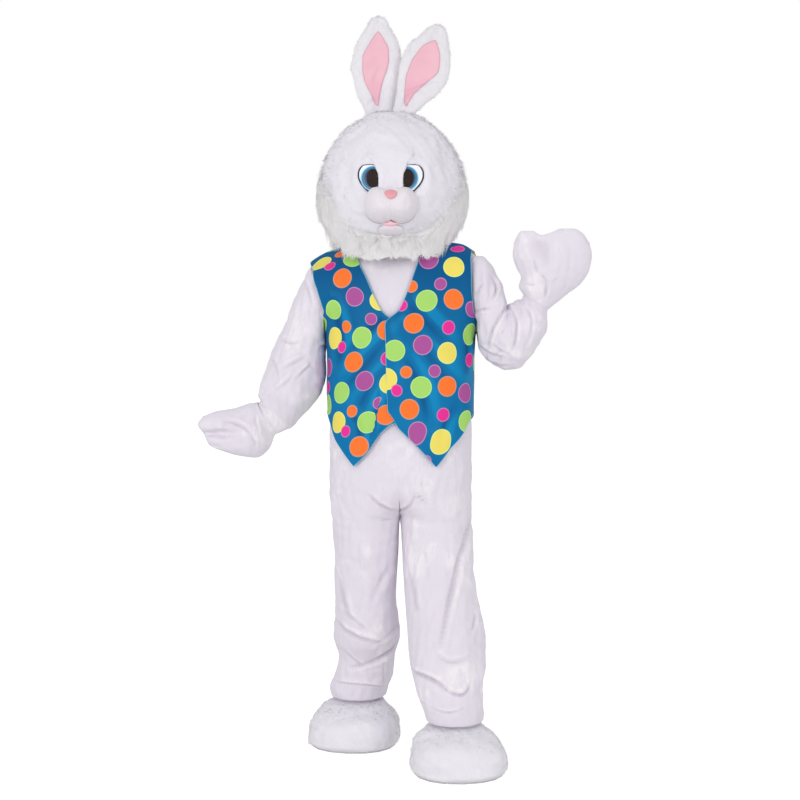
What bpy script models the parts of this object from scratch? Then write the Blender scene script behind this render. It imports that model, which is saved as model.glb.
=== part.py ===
"""A rabbit mascot costume, filled out as it is worn, with nobody in it.

Metres, +Z up, front towards -Y, +X the wearer's left. The origin is the base of the neck,
midway between the shoulders, where the wearer carries the suit. Heights in the tables are
measured from the floor. The costume is a jumpsuit, a waistcoat, two mitts, two shoe covers
and a head, and each piece that a maker cuts is one closed solid, a wall of its cloth.
"""

import math

import bmesh
import bpy
import numpy as np
from mathutils import Matrix

# Driving dimensions.
SHOULDER_HEIGHT = 1.410   # floor to the base of the neck, the origin
PLUSH = 0.0025            # wall of the suit, mitts and shoe covers
SATIN = 0.0012            # wall of the waistcoat
HEAD_WALL = 0.006         # plush over the head's foam shell
SEAM_GAP = 0.0003         # between pieces that are sewn together
LAY_GAP = 0.0008          # between a piece and the one it lies on

VEST_EASE = 0.007         # the waistcoat stands this far off the suit
VEST_HANG = 0.006         # and this much more in the middle of each front's hem

RIGHT, LEFT = -1, 1
FRONT, BACK = -1, 1
SIDE_NAMES = {RIGHT: "right", LEFT: "left"}

PLUSH_WHITE = ("plush_white", (0.86, 0.85, 0.90), 0.85)
LONG_FUR = ("long_fur", (0.88, 0.87, 0.88), 0.95)
SATIN_BLUE = ("satin_blue", (0.01, 0.21, 0.42), 0.45)
SATIN_PINK = ("satin_pink", (0.93, 0.52, 0.62), 0.55)
NOSE_PINK = ("nose_pink", (0.92, 0.36, 0.42), 0.70)
EYE_WHITE = ("eye_white", (0.90, 0.91, 0.94), 0.40)
IRIS_BLUE = ("iris_blue", (0.07, 0.26, 0.42), 0.40)
SCREEN_BLACK = ("screen_black", (0.012, 0.010, 0.010), 0.80)
SOLE_GREY = ("sole_grey", (0.45, 0.44, 0.46), 0.90)
TAPE_WHITE = ("tape_white", (0.82, 0.82, 0.84), 0.80)


# ---------------------------------------------------------------- tables and curves

def table(columns, rows):
    """The rows as one array for each named column."""
    return dict(zip(columns.split(), np.array(rows, float).T))


def smooth(keys, values, at):
    """Values between the rows of a table: a cubic that never overshoots them."""
    keys, values, at = np.asarray(keys), np.asarray(values), np.asarray(at, float)
    step = np.diff(keys)
    rise = np.diff(values) / step
    product = rise[:-1] * rise[1:]
    total = np.where(product > 0, rise[:-1] + rise[1:], 1.0)
    inner = np.where(product > 0, 2.0 * product / total, 0.0)
    slope = np.concatenate([[rise[0]], inner, [rise[-1]]])
    i = np.clip(np.searchsorted(keys, at) - 1, 0, len(keys) - 2)
    t = np.clip((at - keys[i]) / step[i], 0.0, 1.0)
    stay, arrive = (1 + 2 * t) * (1 - t) ** 2, t * t * (3 - 2 * t)
    leave, settle = t * (1 - t) ** 2, t * t * (t - 1)
    return (stay * values[i] + arrive * values[i + 1]
            + step[i] * (leave * slope[i] + settle * slope[i + 1]))


def ramp(value, low, high):
    """0 at low, 1 at high, eased between."""
    t = np.clip((np.asarray(value, float) - low) / (high - low), 0.0, 1.0)
    return t * t * (3 - 2 * t)


def power(value, exponent):
    """A power that keeps the sign."""
    return np.sign(value) * np.abs(value) ** exponent


def through(points, at):
    """Points on a smooth curve through the given ones, spaced by their own distances."""
    points = np.asarray(points, float)
    along = np.concatenate([[0], np.cumsum(np.linalg.norm(np.diff(points, axis=0), axis=1))])
    return np.stack([smooth(along / along[-1], column, at) for column in points.T], axis=-1)


# ---------------------------------------------------------------- walls

def normals(grid, wrap):
    """Unit normals of a grid of points, on the side where rows cross columns."""
    if wrap:
        across = np.roll(grid, -1, axis=1) - np.roll(grid, 1, axis=1)
    else:
        across = np.gradient(grid, axis=1)
    found = np.cross(np.gradient(grid, axis=0), across)
    size = np.linalg.norm(found, axis=2, keepdims=True)
    flat = size[..., 0] < 1e-12
    found = found / np.maximum(size, 1e-12)
    for i in np.where(flat.any(axis=1))[0]:      # a row drawn together to a point
        near = found[i + 1 if i + 1 < len(grid) else i - 1].mean(axis=0)
        found[i] = near / np.linalg.norm(near)
    return found


def finish_object(name, mesh, finish):
    """Links a mesh into the scene, lowered so that the origin is the base of the neck."""
    colour_name, colour, roughness = finish
    mesh.transform(Matrix.Translation((0.0, 0.0, -SHOULDER_HEIGHT)))
    mesh.shade_smooth()
    mesh.set_sharp_from_angle(angle=math.radians(50))
    material = bpy.data.materials.get(colour_name) or bpy.data.materials.new(colour_name)
    material.use_nodes = True
    shader = material.node_tree.nodes["Principled BSDF"]
    shader.inputs["Base Color"].default_value = (*colour, 1.0)
    shader.inputs["Roughness"].default_value = roughness
    mesh.materials.append(material)
    made = bpy.data.objects.new(name, mesh)
    bpy.context.scene.collection.objects.link(made)
    return made


def solid_between(name, outer, inner, finish, wrap=False, joined_ends=()):
    """One closed solid between two grids of points: both faces, and a rim on each open edge.
    joined_ends names rows, 0 or -1, where a wrapped grid draws together to a point."""
    rows, columns = outer.shape[:2]
    mesh_maker = bmesh.new()
    faces_of = []
    for grid in (outer, inner):
        faces_of.append([[mesh_maker.verts.new(p) for p in row] for row in grid])
    over, under = faces_of
    last = columns if wrap else columns - 1
    for i in range(rows - 1):
        for j in range(last):
            k = (j + 1) % columns
            mesh_maker.faces.new((over[i][j], over[i][k], over[i + 1][k], over[i + 1][j]))
            mesh_maker.faces.new((under[i][j], under[i + 1][j], under[i + 1][k], under[i][k]))
    for i in (0, rows - 1):
        if (i if i == 0 else -1) in joined_ends:
            continue
        for j in range(last):
            k = (j + 1) % columns
            mesh_maker.faces.new((over[i][j], under[i][j], under[i][k], over[i][k]))
    if not wrap:
        for j in (0, columns - 1):
            for i in range(rows - 1):
                mesh_maker.faces.new((over[i][j], over[i + 1][j], under[i + 1][j], under[i][j]))
    bmesh.ops.remove_doubles(mesh_maker, verts=mesh_maker.verts, dist=1e-6)
    bmesh.ops.dissolve_degenerate(mesh_maker, edges=mesh_maker.edges, dist=1e-6)
    bmesh.ops.recalc_face_normals(mesh_maker, faces=mesh_maker.faces)
    if mesh_maker.calc_volume(signed=True) < 0:
        bmesh.ops.reverse_faces(mesh_maker, faces=mesh_maker.faces)
    mesh = bpy.data.meshes.new(name)
    mesh_maker.to_mesh(mesh)
    mesh_maker.free()
    return finish_object(name, mesh, finish)


def wall(name, outer, thickness, finish, outward=1, **options):
    """A cloth wall whose outer face is the grid."""
    inner = outer - outward * thickness * normals(outer, options.get("wrap", False))
    return solid_between(name, outer, inner, finish, **options)


# ---------------------------------------------------------------- the jumpsuit's body

# Each station is a section of one side of the body, from the trouser hem (0) to the shoulder
# seam (17). The section is half of an oval, cut off by the plane between the two sides: the
# oval's middle is leg_x out from that plane, so it parts into a leg where leg_x reaches
# half_width. arm_cut is how much of the side the armhole takes; inner_z and outer_z are the
# heights of the section at its two ends.
TORSO = table("station inner_z outer_z leg_x half_width front_depth back_depth neck_x arm_cut", [
    (8,  0.700, 0.700, 0.079, 0.122, 0.122, 0.132, 0.000, 0.00),
    (9,  0.760, 0.760, 0.045, 0.156, 0.130, 0.142, 0.000, 0.00),
    (10, 0.850, 0.850, 0.000, 0.200, 0.134, 0.142, 0.000, 0.00),
    (11, 0.950, 0.950, 0.000, 0.200, 0.133, 0.130, 0.000, 0.00),
    (12, 1.070, 1.070, 0.000, 0.202, 0.130, 0.128, 0.000, 0.00),
    (13, 1.182, 1.182, 0.000, 0.203, 0.126, 0.128, 0.000, 0.00),
    (14, 1.250, 1.240, 0.000, 0.208, 0.121, 0.124, 0.000, 0.58),
    (15, 1.330, 1.300, 0.000, 0.216, 0.108, 0.112, 0.000, 0.68),
    (16, 1.392, 1.352, 0.000, 0.223, 0.078, 0.084, 0.010, 0.62),
    (17, 1.427, 1.375, 0.000, 0.228, 0.000, 0.000, 0.078, 0.30),
])
UNDERARM, SHOULDER = 13, 17
SHOULDER_LIFT = {RIGHT: 0.000, LEFT: 0.034}   # the waving arm raises its shoulder
SHOULDER_WIDEN = {RIGHT: 0.000, LEFT: 0.012}  # and carries its armhole out
ARMHOLE_DEPTH = {RIGHT: 1.00, LEFT: 0.72}     # so that less of the side is cut away

LEG = {
    RIGHT: table("station inner_z leg_x centre_y half_width depth", [
        (0, 0.116, 0.1216, 0.0985, 0.0593, 0.0593),
        (1, 0.142, 0.120, 0.100, 0.085, 0.082),
        (2, 0.178, 0.107, 0.094, 0.085, 0.083),
        (3, 0.235, 0.096, 0.078, 0.081, 0.083),
        (4, 0.310, 0.094, 0.052, 0.095, 0.098),
        (5, 0.416, 0.098, 0.026, 0.087, 0.094),
        (6, 0.558, 0.096, 0.008, 0.092, 0.104),
        (7, 0.652, 0.0975, 0.000, 0.0965, 0.114),
    ]),
    LEFT: table("station inner_z leg_x centre_y half_width depth", [
        (0, 0.116, 0.1502, -0.1842, 0.0592, 0.0592),
        (1, 0.142, 0.147, -0.183, 0.082, 0.080),
        (2, 0.200, 0.135, -0.172, 0.091, 0.088),
        (3, 0.274, 0.131, -0.146, 0.105, 0.098),
        (4, 0.333, 0.128, -0.118, 0.107, 0.102),
        (5, 0.450, 0.114, -0.064, 0.102, 0.102),
        (6, 0.573, 0.106, -0.018, 0.101, 0.108),
        (7, 0.652, 0.102, -0.002, 0.101, 0.114),
    ]),
}
CROTCH = 7

# How the trunk turns and leans between the hips and the shoulders.
POSTURE = table("height lean_x turn", [
    (0.60, 0.000, 0.0),
    (0.85, 0.002, -4.0),
    (1.10, 0.001, -10.0),
    (1.41, -0.018, -12.0),
])

# The largest folds of the suit: a crest or trough along a line from (angle, height) to
# (angle, height). Angles are degrees from the inner edge, 0, over the front, to the outer
# edge, 180, and on over the back to 360 on a leg.
FOLDS = {
    RIGHT: table("angle_a height_a angle_b height_b width depth", [
        (160, 0.345, 75, 0.275, 0.020, -0.007),
        (30, 0.300, 110, 0.218, 0.020, -0.010),
        (50, 0.325, 120, 0.250, 0.024, 0.007),
        (20, 0.500, 70, 0.400, 0.022, -0.006),
        (60, 0.690, 5, 0.640, 0.018, -0.007),
        (130, 0.168, 60, 0.160, 0.014, -0.006),
        (240, 0.330, 310, 0.280, 0.022, -0.009),
        (300, 0.460, 230, 0.400, 0.024, -0.006),
        (250, 0.230, 320, 0.200, 0.018, -0.007),
    ]),
    LEFT: table("angle_a height_a angle_b height_b width depth", [
        (150, 0.600, 100, 0.390, 0.018, -0.008),
        (30, 0.262, 105, 0.212, 0.018, -0.010),
        (105, 0.212, 140, 0.232, 0.016, -0.008),
        (40, 0.300, 120, 0.262, 0.026, 0.007),
        (55, 0.700, 5, 0.648, 0.018, -0.007),
        (160, 0.420, 130, 0.300, 0.020, -0.006),
        (230, 0.300, 310, 0.250, 0.022, -0.009),
        (250, 0.520, 300, 0.420, 0.024, -0.006),
        (300, 0.210, 230, 0.175, 0.018, -0.007),
    ]),
}
FOLD_RADIUS = 0.10        # turns an angle on a leg into a length for a fold's distance


def body_row(side, station):
    """Every measure of the section at each station, as a dict of arrays."""
    leg = LEG[side]
    stations = np.concatenate([leg["station"], TORSO["station"]])

    def column(leg_values, torso_values):
        return smooth(stations, np.concatenate([leg_values, torso_values]), station)

    zero = np.zeros(len(leg["station"]))
    lift = SHOULDER_LIFT[side] * ramp(station, UNDERARM, SHOULDER)
    widen = SHOULDER_WIDEN[side] * ramp(station, UNDERARM - 1, UNDERARM + 1)
    return {
        "inner_z": column(leg["inner_z"], TORSO["inner_z"]),
        "outer_z": column(leg["inner_z"], TORSO["outer_z"]) + lift,
        "leg_x": column(leg["leg_x"], TORSO["leg_x"]),
        "half_width": column(leg["half_width"], TORSO["half_width"]) + widen,
        FRONT: column(leg["depth"], TORSO["front_depth"]),
        BACK: column(leg["depth"], TORSO["back_depth"]),
        "centre_y": column(leg["centre_y"], np.zeros(len(TORSO["station"]))),
        "neck_x": column(zero, TORSO["neck_x"]),
        "arm_cut": column(zero, TORSO["arm_cut"]) * ARMHOLE_DEPTH[side],
    }


def fold_depth(side, degrees, height):
    """How far the suit's folds push its surface out, or in where it is negative."""
    total = np.zeros(np.broadcast(degrees, height).shape)
    folds = FOLDS[side]
    for a0, h0, a1, h1, width, depth in zip(*folds.values()):
        per_degree = math.radians(1) * FOLD_RADIUS
        start = np.array([a0 * per_degree, h0])
        run = np.array([a1 * per_degree, h1]) - start
        here = np.stack(np.broadcast_arrays(degrees * per_degree, height), axis=-1) - start
        along = np.clip(here @ run / (run @ run), 0.0, 1.0)
        away = np.linalg.norm(here - along[..., None] * run, axis=-1)
        taper = np.sin(math.pi * (0.12 + 0.76 * along))
        total += depth * taper * np.exp(-((away / width) ** 2))
    return total


def body_section(side, half, station, share, outside=0.0):
    """Points of the suit before the trunk turns: station by station, and share of the way from
    each section's inner end (0) to its outer end (1). outside lifts them off the surface."""
    station, share = np.broadcast_arrays(np.asarray(station, float), np.asarray(share, float))
    row = body_row(side, station)
    corner = 2.0 / (2.0 + 0.4 * ramp(station, CROTCH, CROTCH + 3))
    upward = ramp(station, SHOULDER - 1.5, SHOULDER)     # a seam on top is lifted, not parted
    wide, deep = row["half_width"] + outside, row[half] + outside * (1 - upward)
    start = np.clip((row["neck_x"] - row["leg_x"]) / row["half_width"], -1.0, 1.0)
    first = np.arccos(power(start, 1 / corner))
    last = np.arcsin(np.clip(power(row["arm_cut"], 1 / corner), 0.0, 1.0))
    angle = first + (last - first) * share
    out = row["leg_x"] + wide * power(np.cos(angle), corner)
    fore = deep * power(np.sin(angle), corner)
    height = row["inner_z"] + (row["outer_z"] - row["inner_z"]) * share ** 1.15
    degrees = 180.0 - np.degrees(angle)
    degrees = degrees if half == FRONT else 360.0 - degrees
    push = fold_depth(side, degrees, height) * (1 - ramp(height, 0.72, 0.80))
    push *= ramp(row["inner_z"], 0.125, 0.150)
    x = side * (np.maximum(out + push * np.cos(angle), 0.0) + SEAM_GAP / 2)
    y = row["centre_y"] + half * (np.maximum(fore + push * np.sin(angle), 0.0) + SEAM_GAP / 2)
    return np.stack([x, y, height + outside * upward], axis=-1)


def stand(points):
    """The points with the trunk's turn and lean."""
    x, y, height = points[..., 0], points[..., 1], points[..., 2]
    turn = np.radians(smooth(POSTURE["height"], POSTURE["turn"], height))
    lean = smooth(POSTURE["height"], POSTURE["lean_x"], height)
    return np.stack([lean + x * np.cos(turn) - y * np.sin(turn),
                     x * np.sin(turn) + y * np.cos(turn), height], axis=-1)


ARMHOLE_STATIONS = np.linspace(UNDERARM, SHOULDER, 9)
SUIT_STATIONS = np.concatenate([
    [0, 0.5, 1.1, 1.8], np.linspace(2.5, 6, 7), [6.6, 7, 7.4, 8, 9, 10, 11.5], ARMHOLE_STATIONS])
SUIT_SHARES = np.linspace(0, 1, 8)


def behind(outer, side, half, thickness, station):
    """The inner face of a panel, kept on its own side of the seams."""
    inner = outer + side * half * thickness * normals(outer, wrap=False)
    middle = body_row(side, station)["centre_y"]
    inner[..., 0] = side * np.maximum(side * inner[..., 0], SEAM_GAP / 2)
    inner[..., 1] = middle + half * np.maximum(half * (inner[..., 1] - middle), SEAM_GAP / 2)
    return inner


def suit_panel(side, half):
    """The outer and inner faces of one panel of the suit."""
    station = SUIT_STATIONS[:, None]
    outer = body_section(side, half, station, SUIT_SHARES[None, :])
    return stand(outer), stand(behind(outer, side, half, PLUSH, station))


def make_suit_body():
    """Two fronts and two backs, each from the shoulder to the ankle in one piece."""
    for side in (RIGHT, LEFT):
        for half, half_name in ((FRONT, "front"), (BACK, "back")):
            solid_between(f"suit_{half_name}_{SIDE_NAMES[side]}", *suit_panel(side, half),
                          PLUSH_WHITE)


# The zip's tape lies inside the seam down the middle of the back.
ZIP_STATIONS = np.linspace(9.4, 16.0, 10)
ZIP_HALF_WIDTH = 0.013


def make_zip():
    row = body_row(LEFT, ZIP_STATIONS)
    across = np.linspace(-ZIP_HALF_WIDTH, ZIP_HALF_WIDTH, 3)[None, :]
    depth = (row[BACK] + SEAM_GAP / 2 - PLUSH - LAY_GAP)[:, None]
    height = row["inner_z"][:, None] + 0 * across
    outer = np.stack([across + 0 * depth, depth + 0 * across, height], axis=-1)
    inner = outer - np.array([0.0, SATIN, 0.0])
    solid_between("suit_zip", stand(outer), stand(inner), TAPE_WHITE)


# ---------------------------------------------------------------- the sleeves

# A sleeve's sections lie between an upper point (x, height) and a lower one, with a half-depth
# about centre_y. They follow the armhole, which is the first, and end inside the mitt's cuff.
SLEEVES = {
    RIGHT: table("upper_x upper_z lower_x lower_z centre_y depth", [
        (-0.2540, 1.3820, -0.2150, 1.1690, 0.040, 0.080),
        (-0.2727, 1.3473, -0.2150, 1.1430, 0.040, 0.079),
        (-0.2920, 1.2980, -0.2150, 1.1150, 0.040, 0.078),
        (-0.3128, 1.2440, -0.2140, 1.0860, 0.038, 0.078),
        (-0.3330, 1.1920, -0.2140, 1.0560, 0.034, 0.080),
        (-0.3559, 1.1407, -0.2150, 1.0290, 0.026, 0.084),
        (-0.3720, 1.0950, -0.2240, 1.0010, 0.014, 0.086),
        (-0.3850, 1.0550, -0.2451, 0.9709, -0.006, 0.084),
        (-0.3950, 1.0200, -0.2745, 0.9393, -0.030, 0.078),
        (-0.3990, 0.9990, -0.3060, 0.9090, -0.058, 0.066),
        (-0.3880, 0.9905, -0.3385, 0.8955, -0.086, 0.0455),
        (-0.3965, 0.9790, -0.3510, 0.8915, -0.099, 0.0420),
        (-0.4130, 0.9660, -0.3740, 0.8830, -0.105, 0.0400),
    ]),
    LEFT: table("upper_x upper_z lower_x lower_z centre_y depth", [
        (0.2420, 1.3930, 0.2170, 1.1660, -0.046, 0.078),
        (0.2620, 1.3600, 0.2180, 1.1340, -0.050, 0.077),
        (0.2800, 1.3300, 0.2370, 1.1040, -0.054, 0.080),
        (0.2910, 1.3000, 0.2680, 1.0840, -0.058, 0.083),
        (0.2960, 1.2720, 0.2960, 1.0700, -0.062, 0.084),
        (0.2990, 1.2560, 0.3300, 1.0730, -0.068, 0.084),
        (0.3050, 1.2555, 0.3600, 1.1040, -0.078, 0.080),
        (0.3150, 1.2600, 0.3860, 1.1420, -0.090, 0.072),
        (0.3270, 1.2650, 0.4020, 1.1780, -0.102, 0.062),
        (0.3377, 1.2690, 0.4110, 1.2090, -0.114, 0.052),
        (0.3400, 1.2745, 0.4090, 1.2350, -0.122, 0.040),
        (0.3429, 1.2842, 0.4125, 1.2468, -0.129, 0.0345),
        (0.3533, 1.3013, 0.4211, 1.2649, -0.135, 0.0325),
    ]),
}
CAP_OUT, CAP_SPREAD = 0.012, 0.05     # the sleeve stands straight out before it drops
SLEEVE_COLUMNS = 2 * (len(ARMHOLE_STATIONS) - 1)

# Creases across a sleeve: where along it, on which side (degrees from the upper edge over the
# back), how far round they reach, how wide along the sleeve and how deep.
SLEEVE_CREASES = {
    RIGHT: table("along angle reach width depth", [
        (0.30, 300, 45, 0.030, -0.006),
        (0.60, 250, 60, 0.035, 0.006),
        (0.68, 280, 70, 0.030, -0.008),
        (0.78, 230, 60, 0.030, 0.006),
        (0.62, 90, 70, 0.040, -0.007),
    ]),
    LEFT: table("along angle reach width depth", [
        (0.22, 300, 45, 0.030, -0.007),
        (0.36, 320, 50, 0.030, 0.006),
        (0.46, 300, 55, 0.028, -0.009),
        (0.56, 240, 60, 0.035, 0.006),
        (0.64, 310, 50, 0.028, -0.007),
        (0.50, 60, 70, 0.040, -0.008),
    ]),
}


def armhole(side):
    """The first ring of a sleeve, just inside the suit's armhole, and the way to its middle."""
    count = len(ARMHOLE_STATIONS)
    front, back = (suit_panel(side, half)[0][-count:, -1] for half in (FRONT, BACK))
    top, bottom = (front + back)[[-1, 0]] / 2
    edge = np.concatenate([[top], back[-2:0:-1], [bottom], front[1:-1]])
    inward = edge.mean(axis=0) - edge
    inward[:, 0] = 0.0
    inward /= np.linalg.norm(inward, axis=1, keepdims=True)
    return edge + 3 * SEAM_GAP * (inward + np.array([side, 0.0, 0.0])), inward


def sleeve_grid(side, between=1):
    """Rings of a sleeve from its armhole to its gathered end, so many for each section."""
    rows = SLEEVES[side]
    angle = np.linspace(0, 2 * math.pi, SLEEVE_COLUMNS, endpoint=False)
    seam = armhole(side)[0]
    cap = seam + CAP_SPREAD * (seam - seam.mean(axis=0)) + np.array([side * CAP_OUT, 0, 0])
    sections = [seam, cap]
    for upper_x, upper_z, lower_x, lower_z, centre_y, depth in zip(*rows.values()):
        upper = np.array([upper_x, centre_y, upper_z])
        lower = np.array([lower_x, centre_y, lower_z])
        sections.append((upper + lower) / 2 + np.cos(angle)[:, None] * (upper - lower) / 2
                        + np.sin(angle)[:, None] * np.array([0.0, depth, 0.0]))
    sections = np.array(sections)
    keys = np.linspace(0, 1, len(sections))
    at = np.linspace(0, 1, between * (len(sections) - 1) + 1)
    grid = np.stack([[smooth(keys, sections[:, j, axis], at) for j in range(SLEEVE_COLUMNS)]
                     for axis in range(3)], axis=-1).transpose(1, 0, 2)
    away = grid - grid.mean(axis=1, keepdims=True)
    push = np.zeros(grid.shape[:2])
    for along, centre, reach, width, depth in zip(*SLEEVE_CREASES[side].values()):
        turn = (np.degrees(angle)[None, :] - centre + 180) % 360 - 180
        push += depth * np.exp(-((at[:, None] - along) / width) ** 2 - (turn / reach) ** 2)
    return grid + push[..., None] * away / np.linalg.norm(away, axis=2, keepdims=True)


def make_sleeves():
    for side in (RIGHT, LEFT):
        outer = sleeve_grid(side)
        inner = outer - side * PLUSH * normals(outer, wrap=True)
        inner[0] = outer[0] + PLUSH * armhole(side)[1]
        solid_between(f"sleeve_{SIDE_NAMES[side]}", outer, inner, PLUSH_WHITE, wrap=True)


# ---------------------------------------------------------------- the waistcoat

VEST_HEM_SIDE = {RIGHT: 0.888, LEFT: 0.906}
VEST_POINT = {RIGHT: 0.806, LEFT: 0.813}      # height of each front's point
VEST_POINT_SHARE = 0.34                       # and its place across the front
VEST_HEM_CENTRE = 0.928
VEST_NECK = 1.214                             # where the fronts part
VEST_BACK_HEM = 0.885
VEST_BACK_NECK_DIP = 1.30                     # stations that the back's neckline dips
VEST_BACK_NECK_SHARE = 0.05                   # and the share of the shoulder it leaves open
VEST_OVERLAP = 0.014                          # each front runs this far past the middle
VEST_ROWS = np.concatenate([np.linspace(0, 0.40, 4), np.linspace(0.47, 1, 9)])
VEST_SHARES = np.concatenate([np.linspace(0, VEST_POINT_SHARE, 4),
                              np.linspace(VEST_POINT_SHARE, 1, 6)[1:]])
VEST_BACK_SHARES = np.concatenate([[0, 0.08], np.linspace(0.16, 1, 7)])


def station_at(side, height):
    """The station whose inner end lies at this height, on the trunk."""
    stations = np.linspace(CROTCH, SHOULDER, 400)
    return np.interp(height, body_row(side, stations)["inner_z"], stations)


def vest_hem(side, share):
    """Height of a front's hem: down to its point and up to the side."""
    places = [0.0, VEST_POINT_SHARE, 1.0]
    return np.interp(share, places, [VEST_HEM_CENTRE, VEST_POINT[side], VEST_HEM_SIDE[side]])


# The neckline: the share of the section that it leaves open, from the fronts' parting up.
VEST_NECKLINE = table("station share", [
    (13.00, 0.000), (13.35, 0.000), (14.0, 0.120), (14.5, 0.205), (15.0, 0.270), (16.0, 0.310),
    (16.5, 0.190), (17.0, 0.050)])
VEST_ARM_SHARE = 0.93


def vest_front_grid(side, rows, shares):
    """Points of a front, from the hem to the shoulder seam, from the middle to the side."""
    t = rows[:, None]
    hem = station_at(side, vest_hem(side, shares))[None, :]
    station = hem + (SHOULDER - 0.02 - hem) * t
    inner = smooth(VEST_NECKLINE["station"], VEST_NECKLINE["share"], station)
    reach = 1 - (1 - VEST_ARM_SHARE) * ramp(station, 12.1, 13.1)
    across = inner + (reach - inner) * shares[None, :]
    hang = (1 - ramp(station, 9, 13)) * np.sin(math.pi * shares)[None, :] ** 2
    loose = VEST_EASE + VEST_HANG * hang
    grid = body_section(side, FRONT, station, across, outside=loose)
    edge = (1 - shares[None, :]) ** 4 * (1 - ramp(station, station_at(side, VEST_NECK) - 0.3,
                                                  station_at(side, VEST_NECK) + 0.4))
    grid[..., 0] -= side * VEST_OVERLAP * edge
    over = SATIN + 2 * LAY_GAP if side == LEFT else 0.0
    grid[..., 1] -= over * np.clip(edge * 3, 0, 1)
    return stand(grid)


def vest_back_grid(rows, shares):
    """Points of the back, from the hem to the shoulder, from the right side to the left."""
    parts = []
    neck_side = shares[2]                 # the first columns follow the neckline
    drawn_in = np.interp(shares, [0, neck_side, 1], [0, VEST_BACK_NECK_SHARE, 1])
    dip = VEST_BACK_NECK_DIP * np.clip(1 - shares / neck_side, 0, 1)
    for side in (RIGHT, LEFT):
        hem = station_at(side, VEST_BACK_HEM)
        station = hem + (SHOULDER - 0.02 - dip[None, :] - hem) * rows[:, None]
        reach = 1 - (1 - VEST_ARM_SHARE) * ramp(station, 12.1, 13.1)
        across = reach * (shares + (drawn_in - shares) * ramp(rows, 0.6, 1.0)[:, None])
        parts.append(stand(body_section(side, BACK, station, across,
                                        outside=VEST_EASE + 0.004 * dip * rows[:, None] ** 2)))
    right, left = parts
    middle = (right[:, :1] + left[:, :1]) / 2
    return np.concatenate([right[:, :0:-1], middle, left[:, 1:]], axis=1)


def make_vest():
    for side in (RIGHT, LEFT):
        grid = vest_front_grid(side, VEST_ROWS, VEST_SHARES)
        wall(f"vest_front_{SIDE_NAMES[side]}", grid, SATIN, SATIN_BLUE, outward=side)
    grid = vest_back_grid(VEST_ROWS, VEST_BACK_SHARES)
    wall("vest_back", grid, SATIN, SATIN_BLUE, outward=-1)


# ---------------------------------------------------------------- the mitts

# Each mitt is a patch between four edges, seen from the front: its cuff, its two sides and its
# tips, as points (x, height), with the depth of its middle plane. start is the side that joins
# the cuff's first end.
MITTS = {
    RIGHT: {
        "cuff": [(-0.3985, 0.9880), (-0.3480, 0.8860)],
        "first_side": [(-0.4180, 0.9830), (-0.4593, 0.9700), (-0.5059, 0.9633), (-0.5400, 0.9500)],
        "second_side": [(-0.3640, 0.8520), (-0.3960, 0.8300), (-0.4471, 0.8389),
                        (-0.4954, 0.8557)],
        "tips": [(-0.5540, 0.9290), (-0.5382, 0.9015), (-0.5227, 0.8700)],
        "depth_y": (-0.098, -0.175),
        "puff": 0.060,
    },
    LEFT: {
        "cuff": [(0.3370, 1.2850), (0.4166, 1.2423)],
        "first_side": [(0.3270, 1.3060), (0.3330, 1.3300), (0.3193, 1.3577), (0.3089, 1.3960),
                       (0.3125, 1.4279)],
        "second_side": [(0.4594, 1.2807), (0.5016, 1.3155), (0.5222, 1.3539), (0.5274, 1.3895),
                        (0.5181, 1.4251)],
        "tips": [(0.3333, 1.4580), (0.3600, 1.4585), (0.3870, 1.4470), (0.4140, 1.4545),
                 (0.4386, 1.4643), (0.4734, 1.4643), (0.4978, 1.4525)],
        "depth_y": (-0.130, -0.190),
        "puff": 0.044,
    },
}
# Valleys between the fingers: where across the mitt, how far down from the tips, width, depth.
MITT_VALLEYS = {
    RIGHT: table("across reach width depth", [(0.46, 0.80, 0.07, 0.62), (0.74, 0.25, 0.05, 0.3)]),
    LEFT: table("across reach width depth", [(0.33, 0.62, 0.055, 0.55),
                                             (0.62, 0.55, 0.050, 0.35)]),
}
MITT_CUFF_DEPTH = {RIGHT: 0.049, LEFT: 0.042}
MITT_ROWS = 9
MITT_COLUMNS = 13


def patch(start, end, first_side, second_side, rows, columns):
    """Points between four edges that share their corners, blended both ways."""
    v = np.linspace(0, 1, rows)
    u = np.linspace(0, 1, columns)
    low, high = through(start, u)[None], through(end, u)[None]
    left, right = through(first_side, v)[:, None], through(second_side, v)[:, None]
    u, v = u[None, :, None], v[:, None, None]
    corners = ((1 - u) * (1 - v) * low[:, :1] + u * (1 - v) * low[:, -1:]
               + (1 - u) * v * high[:, :1] + u * v * high[:, -1:])
    return (1 - v) * low + v * high + (1 - u) * left + u * right - corners


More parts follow.
